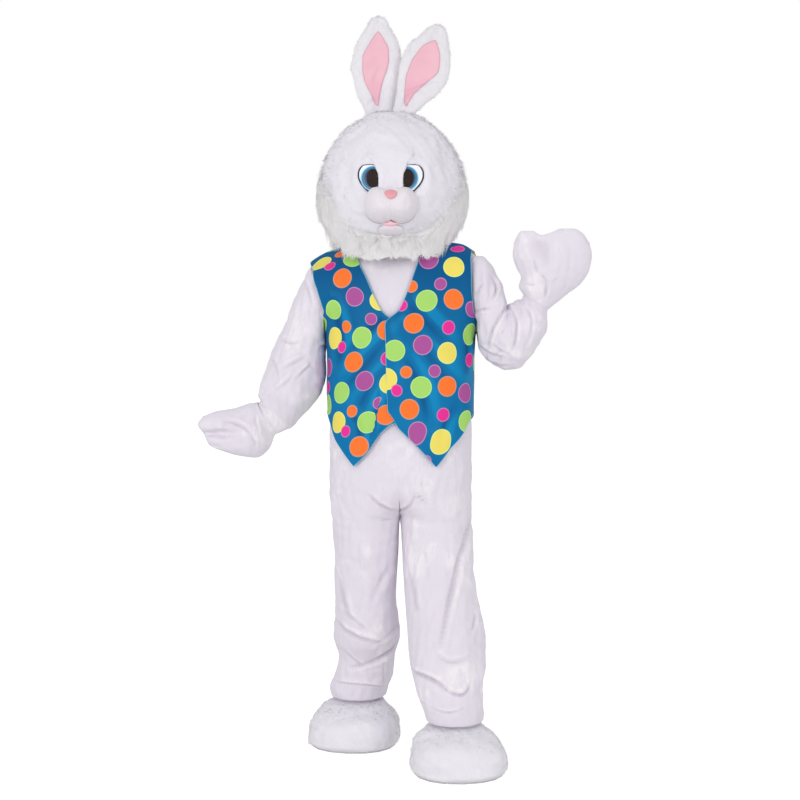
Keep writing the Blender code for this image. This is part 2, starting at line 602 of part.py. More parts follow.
def mitt_faces(side, half):
    """The outer face of half a mitt, and of the same half drawn in by the wall."""
    shape, valleys = MITTS[side], MITT_VALLEYS[side]
    cuff, tips = shape["cuff"], shape["tips"]
    first_side = [cuff[0], *shape["first_side"]]
    second_side = [cuff[1], *shape["second_side"]]
    top = [first_side[-1], *tips, second_side[-1]]
    flat = patch(cuff, top, first_side, second_side, MITT_ROWS, MITT_COLUMNS)
    u = np.linspace(0, 1, MITT_COLUMNS)[None, :]
    v = np.linspace(0, 1, MITT_ROWS)[:, None]

    def middle_at(x, height):
        """The mitt's middle plane."""
        start, end = np.mean(cuff, axis=0), np.mean(top, axis=0)
        near, far = shape["depth_y"]
        along = (np.stack([x, height], -1) - start) @ (end - start) / ((end - start) ** 2).sum()
        return near + (far - near) * along

    middle = middle_at(flat[..., 0], flat[..., 1])
    dome = np.sqrt(1 - (2 * u - 1) ** 2) * np.sqrt(1 - v ** 3)
    high = MITT_CUFF_DEPTH[side] + (shape["puff"] - MITT_CUFF_DEPTH[side]) * ramp(v, 0, 0.5)
    rise = high * dome
    for across, reach, width, depth in zip(*valleys.values()):
        rise *= 1 - depth * np.exp(-((u - across) / width) ** 2) * ramp(v, 1 - reach, 1.0)
    outer = np.stack([flat[..., 0], middle + half * (rise + SEAM_GAP / 2), flat[..., 1]], -1)
    inner = outer - PLUSH * face_out(outer, half)
    middle = middle_at(inner[..., 0], inner[..., 2])
    inner[..., 1] = middle + half * np.maximum(half * (inner[..., 1] - middle), SEAM_GAP / 2)
    return outer, inner


def face_out(grid, half):
    """Normals of a grid that point to the front (half -1) or the back (half 1)."""
    found = normals(grid, wrap=False)
    return found * np.sign(found[..., 1].mean() * half)


def make_mitts():
    palms = {RIGHT: BACK, LEFT: FRONT}
    for side in (RIGHT, LEFT):
        for half in (FRONT, BACK):
            part_name = "palm" if half == palms[side] else "back"
            solid_between(f"mitt_{SIDE_NAMES[side]}_{part_name}", *mitt_faces(side, half),
                          PLUSH_WHITE)


# ---------------------------------------------------------------- the shoe covers

# Sections of a cover's upper, from the sole to the collar: height, half-length, half-width and
# how far the section's middle lies towards the heel.
COVER = table("height half_length half_width heelward", [
    (0.0053, 0.139, 0.121, 0.000),
    (0.0180, 0.147, 0.129, 0.000),
    (0.0450, 0.146, 0.128, 0.002),
    (0.0720, 0.134, 0.116, 0.006),
    (0.0930, 0.111, 0.097, 0.022),
    (0.1060, 0.080, 0.074, 0.044),
    (0.1130, 0.0555, 0.0555, 0.055),
    (0.1500, 0.0535, 0.0535, 0.055),
])
COVER_PLACE = {RIGHT: {"heel": (-0.1085, 0.1910), "toe": (-0.1500, -0.1030)},
               LEFT: {"heel": (0.1420, -0.0920), "toe": (0.1680, -0.3860)}}
COVER_COLUMNS = 18
SOLE_THICKNESS = 0.005
SOLE_INSET = 0.001


def cover_ring(side, height, half_length, half_width, heelward):
    """One section of a shoe cover: an oval, broader at the toe than at the heel."""
    heel, toe = (np.array(COVER_PLACE[side][end]) for end in ("heel", "toe"))
    forward = (toe - heel) / np.linalg.norm(toe - heel)
    across = np.array([-forward[1], forward[0]])
    angle = np.linspace(0, 2 * math.pi, COVER_COLUMNS, endpoint=False)
    broad = 1 + 0.10 * np.cos(angle) * min(half_length / 0.14, 1) ** 4
    middle = (heel + toe) / 2 - heelward * forward
    ring = (middle + half_length * power(np.cos(angle), 0.9)[:, None] * forward
            + (half_width * broad * power(np.sin(angle), 0.9))[:, None] * across)
    return np.column_stack([ring, np.full(COVER_COLUMNS, height)])


def make_covers():
    for side in (RIGHT, LEFT):
        rings = np.array([cover_ring(side, *row) for row in zip(*COVER.values())])
        out = normals(rings, wrap=True)
        sign = np.sign((out * (rings - rings.mean(axis=(0, 1)))).sum())
        inner = rings - sign * PLUSH * out
        inner[0] = rings[0] + 0.96 * (inner[0] - rings[0])
        inner[0][:, 2] = rings[0][:, 2]
        solid_between(f"cover_{SIDE_NAMES[side]}_upper", rings, inner, PLUSH_WHITE, wrap=True)
        outline = cover_ring(side, SOLE_THICKNESS, COVER["half_length"][0] - SOLE_INSET,
                             COVER["half_width"][0] - SOLE_INSET, 0.0)
        plate(f"cover_{SIDE_NAMES[side]}_sole", outline, SOLE_THICKNESS, SOLE_GREY)


def plate(name, outline, thickness, finish):
    """A flat plate under a level outline."""
    mesh_maker = bmesh.new()
    top = [mesh_maker.verts.new(p) for p in outline]
    low = [mesh_maker.verts.new(p - np.array([0, 0, thickness])) for p in outline]
    mesh_maker.faces.new(top)
    mesh_maker.faces.new(low[::-1])
    for i, corner in enumerate(top):
        mesh_maker.faces.new((low[i - 1], low[i], corner, top[i - 1]))
    bmesh.ops.recalc_face_normals(mesh_maker, faces=mesh_maker.faces)
    mesh = bpy.data.meshes.new(name)
    mesh_maker.to_mesh(mesh)
    mesh_maker.free()
    return finish_object(name, mesh, finish)


# ---------------------------------------------------------------- the head

# Sections of the head's shell, from the crown (0) to the open neck.
HEAD = table("share height half_width front back", [
    (0.00, 1.8015, 0.0000, 0.000, 0.000),
    (0.06, 1.7960, 0.0500, 0.045, 0.050),
    (0.15, 1.7760, 0.0960, 0.090, 0.095),
    (0.28, 1.7300, 0.1500, 0.142, 0.145),
    (0.42, 1.6650, 0.1880, 0.180, 0.182),
    (0.56, 1.5900, 0.2010, 0.198, 0.197),
    (0.70, 1.5200, 0.1930, 0.192, 0.190),
    (0.84, 1.4680, 0.1650, 0.163, 0.162),
    (1.00, 1.4410, 0.1250, 0.122, 0.128),
])
HEAD_MIDDLE = (-0.0213, -0.015)   # of the head, across and fore and aft
HEAD_CENTRE_HEIGHT = 1.600
HEAD_ROW_SHARES = np.linspace(0, 1, 13) ** 0.9    # a little closer at the crown
HEAD_COLUMNS = 15


def head_point(azimuth, share, outside=0.0):
    """A point of the head's shell. The azimuth is 0 at the front and 90 on the wearer's left."""
    azimuth, share = np.broadcast_arrays(np.radians(azimuth), np.asarray(share, float))
    fore = np.cos(azimuth)
    depth = np.where(fore > 0, smooth(HEAD["share"], HEAD["front"], share),
                     smooth(HEAD["share"], HEAD["back"], share))
    wide = smooth(HEAD["share"], HEAD["half_width"], share)
    height = smooth(HEAD["share"], HEAD["height"], share)
    x = HEAD_MIDDLE[0] + (wide + outside) * np.sin(azimuth)
    y = HEAD_MIDDLE[1] - (depth + outside) * fore
    return np.stack([x, y, height], axis=-1)


def head_front(x, height):
    """The y of the head's front at a place on the face."""
    share = np.interp(-np.asarray(height), -HEAD_HEIGHTS, HEAD_SHARES)
    wide = smooth(HEAD["share"], HEAD["half_width"], share)
    depth = smooth(HEAD["share"], HEAD["front"], share)
    aside = np.clip((np.asarray(x) - HEAD_MIDDLE[0]) / wide, -1, 1)
    return HEAD_MIDDLE[1] - depth * np.sqrt(1 - aside ** 2)


HEAD_SHARES = np.linspace(0, 1, 200)
HEAD_HEIGHTS = smooth(HEAD["share"], HEAD["height"], HEAD_SHARES)


def make_head():
    """The face and the back, sewn together from side to side over the crown."""
    share = HEAD_ROW_SHARES[:, None]
    gap_angle = math.degrees(SEAM_GAP / HEAD["half_width"].max())
    quarter = 90 - gap_angle
    for name, half, middle in (("head_face", FRONT, 0.0), ("head_back", BACK, 180.0)):
        azimuth = middle + np.linspace(-quarter, quarter, HEAD_COLUMNS)[None, :]
        outer = head_point(azimuth, share)
        outer[..., 1] += half * SEAM_GAP
        out = normals(outer, wrap=False)
        centre = np.array([*HEAD_MIDDLE, HEAD_CENTRE_HEIGHT])
        out *= np.sign((out * (outer - centre)).sum())
        inner = outer - HEAD_WALL * out
        behind_seam = np.maximum(half * (inner[..., 1] - HEAD_MIDDLE[1]), SEAM_GAP)
        inner[..., 1] = HEAD_MIDDLE[1] + half * behind_seam
        shell = solid_between(name, outer, inner, PLUSH_WHITE)
        if half == FRONT:
            for side in (RIGHT, LEFT):
                cut_eye(shell, side)


# ---------------------------------------------------------------- the face

FACE_X = -0.0250          # the face's middle line
EYE_OUT = 0.0610          # an eye's middle, out from that line
EYE_HEIGHT = 1.6070
PUPIL_OUT, PUPIL_HEIGHT = 0.0500, 1.6015
EYE_SIZE = (0.0300, 0.0395)
IRIS_SIZE = (0.0235, 0.0320)
PUPIL_SIZE = (0.0170, 0.0255)
EYE_HOLE = (0.0150, 0.0225)

MUZZLE_HEIGHT = 1.5265
PAD_OUT = 0.0340
PAD_SIZE = (0.0410, 0.0420)
PAD_RISE = 0.058
MUZZLE_EDGE = 0.003                             # thickness of the pads at their edges
NOSE_HEIGHT, NOSE_SIZE = 1.5545, (0.0170, 0.0130)
NOSE_TAPER = 0.35                               # how much broader it is above than below
NOSE_EDGE, NOSE_RISE = 0.004, 0.008
LIP_HEIGHT, LIP_SIZE = 1.4808, (0.0235, 0.0028)
LIP_EDGE, LIP_RISE = 0.020, 0.006
CHIN_HEIGHT, CHIN_SIZE = 1.4620, (0.0380, 0.0152)
CHIN_EDGE, CHIN_RISE = 0.003, 0.032


def pad_rise(x, height):
    """How far a muzzle pad stands off the head at a place on the face."""
    aside = (np.abs(x - FACE_X) - PAD_OUT) / PAD_SIZE[0]
    up = (height - MUZZLE_HEIGHT) / PAD_SIZE[1]
    return PAD_RISE * np.sqrt(np.clip(1 - aside ** 2 - up ** 2, 0.0, 1.0))


def face_piece(name, outline, rise, finish, ground=0.0, hole=0.0, rings=5):
    """A piece that lies on the face, its back on the head. outline gives (x, height) pairs
    round it, rise(x, height, r) how far its front stands off its back, ground what it lies on
    and hole the share of its middle that is open."""
    outline = np.asarray(outline)
    centre = outline.mean(axis=0)
    r = (np.linspace(hole, 1, rings) if hole else np.linspace(0, 1, rings) ** 0.8)[:, None]
    flat = centre + r[..., None] * (outline - centre)[None]
    x, height = flat[..., 0], flat[..., 1]
    base = head_front(x, height) - LAY_GAP
    base -= ground(x, height) if callable(ground) else ground
    front = np.stack([x, base - rise(x, height, r), height], axis=-1)
    back = np.stack([x, base, height], axis=-1)
    joined = () if hole else (0,)
    return solid_between(name, front, back, finish, wrap=True, joined_ends=joined)


def oval(centre, size, count, squareness=1.0):
    angle = np.linspace(0, 2 * math.pi, count, endpoint=False)
    return np.column_stack([centre[0] + size[0] * power(np.cos(angle), squareness),
                            centre[1] + size[1] * power(np.sin(angle), squareness)])


def cut_eye(shell, side):
    """An opening through the head behind the pupil's screen."""
    corners = 16
    outline = oval((FACE_X + side * PUPIL_OUT, PUPIL_HEIGHT), EYE_HOLE, corners)
    before_face = HEAD_MIDDLE[1] - 0.285
    near = np.column_stack([outline[:, 0], np.full(corners, before_face), outline[:, 1]])
    far = near + np.array([0.0, 0.200, 0.0])
    mesh_maker = bmesh.new()
    rims = [[mesh_maker.verts.new(p) for p in ring] for ring in (near, far)]
    mesh_maker.faces.new(rims[0])
    mesh_maker.faces.new(rims[1][::-1])
    for i in range(corners):
        mesh_maker.faces.new((rims[1][i - 1], rims[1][i], rims[0][i], rims[0][i - 1]))
    bmesh.ops.recalc_face_normals(mesh_maker, faces=mesh_maker.faces)
    mesh = bpy.data.meshes.new(f"eye_cutter_{SIDE_NAMES[side]}")
    mesh_maker.to_mesh(mesh)
    mesh_maker.free()
    cutter = finish_object(mesh.name, mesh, SCREEN_BLACK)
    cutter.hide_render = True
    cutter.display_type = "WIRE"
    opening = shell.modifiers.new(f"eye_{SIDE_NAMES[side]}", "BOOLEAN")
    opening.operation = "DIFFERENCE"
    opening.object = cutter


EYE_LAYERS = {"white": 0.0026, "iris": 0.0012, "pupil": 0.0010}


def make_eyes():
    for side in (RIGHT, LEFT):
        name = SIDE_NAMES[side]
        eye = oval((FACE_X + side * EYE_OUT, EYE_HEIGHT), EYE_SIZE, 20, 0.92)
        pupil_middle = (FACE_X + side * PUPIL_OUT, PUPIL_HEIGHT)
        on_white = EYE_LAYERS["white"] + LAY_GAP
        on_iris = on_white + EYE_LAYERS["iris"] + LAY_GAP
        ring_piece(f"eye_{name}", eye, oval(pupil_middle, EYE_HOLE, 20), 0.0,
                   EYE_LAYERS["white"], EYE_WHITE)
        ring_piece(f"iris_{name}", oval(pupil_middle, IRIS_SIZE, 20),
                   oval(pupil_middle, EYE_HOLE, 20), on_white, EYE_LAYERS["iris"], IRIS_BLUE,
                   rings=2)
        face_piece(f"pupil_{name}", oval(pupil_middle, PUPIL_SIZE, 16),
                   lambda x, height, r: EYE_LAYERS["pupil"] + 0 * x, SCREEN_BLACK,
                   ground=on_iris, rings=3)


def ring_piece(name, outline, opening, ground, thickness, finish, rings=3):
    """A flat-backed layer of the eye, open in the middle."""
    share = np.linspace(0, 1, rings)[:, None, None]
    flat = opening + share * (outline - opening)
    base = head_front(flat[..., 0], flat[..., 1]) - LAY_GAP - ground
    back = np.stack([flat[..., 0], base, flat[..., 1]], axis=-1)
    front = back - np.array([0.0, thickness, 0.0])
    return solid_between(name, front, back, finish, wrap=True)


def domed(edge, rise):
    """The thickness of a stuffed piece: edge at its rim, and rise more in its middle."""
    return lambda x, height, r: edge + rise * np.sqrt(1 - r ** 2)


def make_muzzle():
    """Two stuffed pads, the nose on them, and the lip and the stuffed chin under them."""
    for side in (RIGHT, LEFT):
        outline = oval((side * PAD_OUT, MUZZLE_HEIGHT), PAD_SIZE, 20)
        outline[:, 0] = FACE_X + side * np.maximum(side * outline[:, 0], 2 * SEAM_GAP)
        face_piece(f"muzzle_{SIDE_NAMES[side]}", outline,
                   lambda x, height, r: MUZZLE_EDGE + pad_rise(x, height), PLUSH_WHITE)
    nose = oval((FACE_X, NOSE_HEIGHT), NOSE_SIZE, 16, 0.8)
    broader = 1 + NOSE_TAPER * (nose[:, 1] - NOSE_HEIGHT) / NOSE_SIZE[1]
    nose[:, 0] = FACE_X + (nose[:, 0] - FACE_X) * broader
    face_piece("nose", nose, domed(NOSE_EDGE, NOSE_RISE), NOSE_PINK, rings=4,
               ground=lambda x, height: MUZZLE_EDGE + 1.5 * LAY_GAP + pad_rise(x, height))
    face_piece("lip", oval((FACE_X, LIP_HEIGHT), LIP_SIZE, 14, 0.8), domed(LIP_EDGE, LIP_RISE),
               SATIN_PINK, ground=-LAY_GAP / 2, rings=3)
    face_piece("chin", oval((FACE_X, CHIN_HEIGHT), CHIN_SIZE, 18), domed(CHIN_EDGE, CHIN_RISE),
               PLUSH_WHITE)


# ---------------------------------------------------------------- the ears

# Each ear's outline: how far it is to either side of its axis, at each length along it, and
# the same for the pink lining in it.
EARS = {
    RIGHT: table("along right left", [
        (0.000, 0.034, 0.027), (0.032, 0.047, 0.037), (0.056, 0.060, 0.047),
        (0.098, 0.0687, 0.059), (0.1345, 0.0767, 0.066), (0.165, 0.071, 0.0650),
        (0.1955, 0.0625, 0.0600), (0.2235, 0.049, 0.048), (0.2495, 0.032, 0.032),
        (0.2665, 0.019, 0.020), (0.2785, 0.000, 0.000)]),
    LEFT: table("along right left", [
        (0.000, 0.016, 0.027), (0.047, 0.030, 0.048), (0.087, 0.046, 0.0696),
        (0.129, 0.061, 0.078), (0.152, 0.064, 0.075), (0.180, 0.0615, 0.066),
        (0.209, 0.047, 0.0525), (0.237, 0.0335, 0.0355), (0.260, 0.017, 0.018),
        (0.274, 0.000, 0.000)]),
}
EAR_LININGS = {
    RIGHT: table("along right left", [
        (0.0245, 0.006, 0.001), (0.0585, 0.021, 0.006), (0.093, 0.038, 0.0136),
        (0.1285, 0.0440, 0.026), (0.1585, 0.0440, 0.031), (0.183, 0.034, 0.030),
        (0.2135, 0.016, 0.016), (0.2355, 0.001, 0.001)]),
    LEFT: table("along right left", [
        (0.018, 0.004, 0.001), (0.0555, 0.0213, 0.006), (0.0755, 0.027, 0.0148),
        (0.101, 0.034, 0.028), (0.142, 0.035, 0.0454), (0.166, 0.030, 0.040),
        (0.192, 0.0227, 0.0284), (0.221, 0.000, 0.005)]),
}
EAR_BASE = {RIGHT: (-0.0625, 1.7960), LEFT: (0.0105, 1.7990)}
EAR_LEAN = {RIGHT: 0.0, LEFT: 23.0}
EAR_Y = {RIGHT: -0.004, LEFT: -0.036}
EAR_THICKNESS = 0.026
EAR_FULL_WIDTH = 0.10     # where the outline is narrower than this, the ear is thinner too
EAR_DISH = 0.45           # share of the thickness that the front sinks by, under the lining
EAR_DISH_WIDTH = 0.55
EAR_CURVE = 0.009         # how far its two ends curve back
EAR_ROWS = 12
EAR_COLUMNS = 9
LINING_DEPTH = 0.0010     # the lining lies this far in front of the ear
LINING_ROWS, LINING_COLUMNS = 9, 5


def ear_point(side, along, aside, face):
    """A point of an ear's front (face -1) or back (face 1). aside runs from -1 to 1."""
    rows = EARS[side]
    right, left = (smooth(rows["along"], rows[key], along) for key in ("right", "left"))
    across = np.where(aside < 0, aside * right, aside * left)
    narrow = np.clip((right + left) / EAR_FULL_WIDTH, 0, 1)
    puff = np.sqrt(np.clip(1 - aside ** 2, 0, 1) * narrow)
    dish = EAR_DISH * np.exp(-(aside / EAR_DISH_WIDTH) ** 2) if face == FRONT else 0.0
    lean = math.radians(EAR_LEAN[side])
    x = EAR_BASE[side][0] + along * math.sin(lean) + across * math.cos(lean)
    height = EAR_BASE[side][1] + along * math.cos(lean) - across * math.sin(lean)
    y = EAR_Y[side] + face * EAR_THICKNESS / 2 * puff * (1 - dish)
    y += EAR_CURVE * (2 * along / rows["along"][-1] - 1) ** 2
    return np.stack([x, y + 0 * x, height], axis=-1)


def head_top(x, y):
    """The height of the head's crown over a place in plan, along the rows that it is made of."""
    share = np.linspace(0.002, 0.5, 800)
    wide, front, back, height = (np.interp(share, HEAD_ROW_SHARES, smooth(
        HEAD["share"], HEAD[key], HEAD_ROW_SHARES)) for key in (
            "half_width", "front", "back", "height"))
    aside = (np.asarray(x)[..., None] - HEAD_MIDDLE[0]) / wide
    fore = np.asarray(y)[..., None] - HEAD_MIDDLE[1]
    fore = fore / np.where(fore > 0, back, front)
    inside = np.hypot(aside, fore) < 1.0
    return height[np.maximum(np.argmax(inside, axis=-1) - 1, 0)]


def make_ears():
    for side in (RIGHT, LEFT):
        name = SIDE_NAMES[side]
        whole, lining = EARS[side], EAR_LININGS[side]
        t = np.linspace(0, 1, EAR_ROWS)[:, None]
        aside = np.sin(np.linspace(-math.pi / 2, math.pi / 2, EAR_COLUMNS))[None, :]
        along = whole["along"][-1] * t + 0 * aside
        faces = [ear_point(side, along, aside + 0 * t, face) for face in (FRONT, BACK)]
        for face in faces:                   # the lowest rows follow the crown that they sit on
            base = head_top(face[..., 0], face[..., 1]) + SEAM_GAP
            face[..., 2] = np.maximum(face[..., 2], base + 0.004 * t)
            face[0, :, 2] = base[0]
        solid_between(f"ear_{name}", *faces, PLUSH_WHITE)
        along = np.linspace(lining["along"][0], lining["along"][-1], LINING_ROWS)[:, None]
        share = np.linspace(-1, 1, LINING_COLUMNS)[None, :]
        across = np.where(share < 0, share * smooth(lining["along"], lining["right"], along),
                          share * smooth(lining["along"], lining["left"], along))
        aside = np.where(across < 0, across / smooth(whole["along"], whole["right"], along),
                         across / smooth(whole["along"], whole["left"], along))
        back = ear_point(side, along + 0 * share, aside, FRONT) - [0.0, LINING_DEPTH, 0.0]
        solid_between(f"ear_lining_{name}", back - [0.0, SATIN, 0.0], back, SATIN_PINK)


# ---------------------------------------------------------------- the ruff

# The long fur under the cheeks and chin: by azimuth from the front, the share of the head where
# it starts and the height where its locks end.
RUFF = table("azimuth top_share low", [
    (0, 0.980, 1.384), (25, 0.920, 1.384), (50, 0.700, 1.390), (75, 0.540, 1.400),
    (95, 0.480, 1.400), (120, 0.520, 1.400), (150, 0.600, 1.395), (180, 0.640, 1.390)])
RUFF_THICKNESS = 0.018
RUFF_FLARE = 0.030        # how much further out it stands at the foot of the head
RUFF_LOCK = 0.016         # every second lock ends this much higher
RUFF_LOCKS = 12
RUFF_ROWS = 7
RUFF_HANG = 0.75          # the share of its length that lies on the head
RUFF_INSIDE = 0.012       # how far its inner face draws away from the neck below that
RUFF_OFF_HEAD = (0.0023, 0.0024)      # at its edges, and more in its middle
RUFF_REST = (0.085, 0.125)            # it rests on the shoulders within these of their ridge


def shoulder_ridge(side, x):
    """The height of the waistcoat's shoulder seam over each x."""
    share = np.linspace(0, 1, 20)
    seam = stand(body_section(side, FRONT, float(SHOULDER), share, outside=VEST_EASE))
    order = np.argsort(seam[:, 0])
    return np.interp(x, seam[order, 0], seam[order, 2])


def make_ruff():
    """Two halves of long fur on its own backing, which hang from the cheeks to the shoulders."""
    columns = 2 * RUFF_LOCKS + 1
    turn = np.linspace(0.2, 179.8, columns)[None, :]
    t = np.linspace(0, 1, RUFF_ROWS)[:, None]
    top = smooth(RUFF["azimuth"], RUFF["top_share"], turn)
    low = smooth(RUFF["azimuth"], RUFF["low"], turn)
    low = low + RUFF_LOCK * (np.arange(columns) % 2)[None, :]
    share = top + (1.0 - top) * np.minimum(t / RUFF_HANG, 1)
    hang = np.clip((t - RUFF_HANG) / (1 - RUFF_HANG), 0, 1)
    off_head = RUFF_OFF_HEAD[0] + RUFF_OFF_HEAD[1] * np.sin(np.pi * t) ** 0.7
    thick = RUFF_THICKNESS * (0.15 + np.sin(np.pi * (0.05 + 0.80 * t)))
    flare = RUFF_FLARE * ramp(t, 0.45, 0.9)
    for side in (RIGHT, LEFT):
        azimuth = side * turn + 0 * t
        inner = head_point(azimuth, share, outside=off_head)
        outer = head_point(azimuth, share, outside=off_head + thick + flare)
        for face, spread in ((inner, RUFF_INSIDE), (outer, 0.0)):
            face[..., 2] += (low - face[..., 2]) * hang
            face[..., 0] += spread * hang * np.sin(np.radians(azimuth))
            face[..., 1] -= spread * hang * np.cos(np.radians(azimuth))
            aside = np.abs(face[-1, :, 1] - HEAD_MIDDLE[1])
            off_ridge = ramp(aside, *RUFF_REST)
            rest = shoulder_ridge(side, face[-1, :, 0]) + LAY_GAP - off_ridge
            face[..., 2] += np.maximum(rest - face[-1, :, 2], 0.0) * hang
        solid_between(f"ruff_{SIDE_NAMES[side]}", outer, inner, LONG_FUR)


# ---------------------------------------------------------------- build

def main():
    for old in list(bpy.data.objects):
        bpy.data.objects.remove(old)
    make_suit_body()
    make_zip()
    make_sleeves()
    make_vest()
    make_mitts()
    make_covers()
    make_head()
    make_eyes()
    make_muzzle()
    make_ears()
    make_ruff()


main()
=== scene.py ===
import math

import bmesh
import bpy
import numpy as np
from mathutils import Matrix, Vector, kdtree


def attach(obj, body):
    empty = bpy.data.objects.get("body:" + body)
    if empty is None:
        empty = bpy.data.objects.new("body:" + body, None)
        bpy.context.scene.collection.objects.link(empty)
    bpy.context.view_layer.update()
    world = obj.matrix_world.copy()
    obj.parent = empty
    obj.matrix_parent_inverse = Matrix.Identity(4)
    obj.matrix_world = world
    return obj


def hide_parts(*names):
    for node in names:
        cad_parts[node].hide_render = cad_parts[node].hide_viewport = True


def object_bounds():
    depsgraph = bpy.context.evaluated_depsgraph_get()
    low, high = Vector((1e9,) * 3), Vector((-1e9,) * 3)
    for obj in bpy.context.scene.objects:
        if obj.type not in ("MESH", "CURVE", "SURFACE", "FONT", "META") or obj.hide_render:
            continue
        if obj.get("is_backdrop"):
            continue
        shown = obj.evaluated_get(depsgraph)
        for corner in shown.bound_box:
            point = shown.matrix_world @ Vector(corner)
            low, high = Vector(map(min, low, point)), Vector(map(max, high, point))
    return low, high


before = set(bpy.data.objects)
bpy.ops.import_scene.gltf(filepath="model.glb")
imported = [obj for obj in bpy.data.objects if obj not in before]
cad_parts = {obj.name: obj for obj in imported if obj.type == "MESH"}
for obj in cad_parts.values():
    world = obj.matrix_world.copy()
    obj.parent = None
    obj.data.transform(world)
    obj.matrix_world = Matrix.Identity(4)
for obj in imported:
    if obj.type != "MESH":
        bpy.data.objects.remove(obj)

for name in ("Cube", "Light", "Camera"):
    if name in bpy.data.objects:
        bpy.data.objects.remove(bpy.data.objects[name])
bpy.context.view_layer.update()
print("frame loaded")

# Metres. The costume faces -Y, and the heights in the tables are counted from the floor.
floorToNeck = 1.41
plushWall, satinWall, headWall = 0.0025, 0.0012, 0.006
seamGap, layGap = 0.0003, 0.0008
seamTouch = 0.00004      # half the gap left where the two fronts meet
sharpAngle = math.radians(60)
rightSide, leftSide = -1, 1
frontHalf, backHalf = -1, 1
sideName = {rightSide: "right", leftSide: "left"}
rng = np.random.default_rng(41)


def table(columns, rows, parts=1):
    # columns by name; a table in millimetres has 1000 parts to the metre
    return dict(zip(columns.split(), np.array(rows, float).T / parts))


def smooth(keys, values, at):
    # a curve through a table's rows that never swings past them
    keys, values, at = np.asarray(keys), np.asarray(values), np.asarray(at, float)
    step = np.diff(keys)
    rise = np.diff(values) / step
    product = rise[:-1] * rise[1:]
    total = np.where(product > 0, rise[:-1] + rise[1:], 1.0)
    inner = np.where(product > 0, 2.0 * product / total, 0.0)
    slope = np.concatenate([[rise[0]], inner, [rise[-1]]])
    i = np.clip(np.searchsorted(keys, at) - 1, 0, len(keys) - 2)
    t = np.clip((at - keys[i]) / step[i], 0.0, 1.0)
    stay, arrive = (1 + 2 * t) * (1 - t) ** 2, t * t * (3 - 2 * t)
    leave, settle = t * (1 - t) ** 2, t * t * (t - 1)
    return (stay * values[i] + arrive * values[i + 1]
            + step[i] * (leave * slope[i] + settle * slope[i + 1]))


def ramp(value, low, high):
    t = np.clip((np.asarray(value, float) - low) / (high - low), 0.0, 1.0)
    return t * t * (3 - 2 * t)


def power(value, exponent):
    return np.sign(value) * np.abs(value) ** exponent


def lengthAlong(grid, axis=0):
    # metres run from the first row or column, along the grid's own cloth
    run = np.cumsum(np.linalg.norm(np.diff(grid, axis=axis), axis=-1), axis)
    return np.insert(run, 0, 0.0, axis)


def through(points, at):
    points = np.asarray(points, float)
    along = lengthAlong(points)
    return np.stack([smooth(along / along[-1], column, at) for column in points.T], axis=-1)


def unit(vectors):
    return vectors / np.maximum(np.linalg.norm(vectors, axis=-1, keepdims=True), 1e-12)


def gridNormals(grid, wrap):
    if wrap:
        across = np.roll(grid, -1, axis=1) - np.roll(grid, 1, axis=1)
    else:
        across = np.gradient(grid, axis=1)
    found = np.cross(np.gradient(grid, axis=0), across)
    size = np.linalg.norm(found, axis=2, keepdims=True)
    flat = size[..., 0] < 1e-12
    found = found / np.maximum(size, 1e-12)
    for i in np.where(flat.any(axis=1))[0]:
        near = found[i + 1 if i + 1 < len(grid) else i - 1].mean(axis=0)
        found[i] = near / np.linalg.norm(near)
    return found


class Signal:
    # one socket, so that maths on it reads as plain maths
    def __init__(self, look, socket):
        self.look, self.socket = look, socket

    def maths(self, operation, first, second=0.0):
        return self.look.node("ShaderNodeMath", {"operation": operation}, {0: first, 1: second})

    def __add__(self, other):
        return self.maths("ADD", self, other)

    def __rsub__(self, other):
        return self.maths("SUBTRACT", other, self)

    def __mul__(self, other):
        return self.maths("MULTIPLY", self, other)

    __radd__, __rmul__ = __add__, __mul__


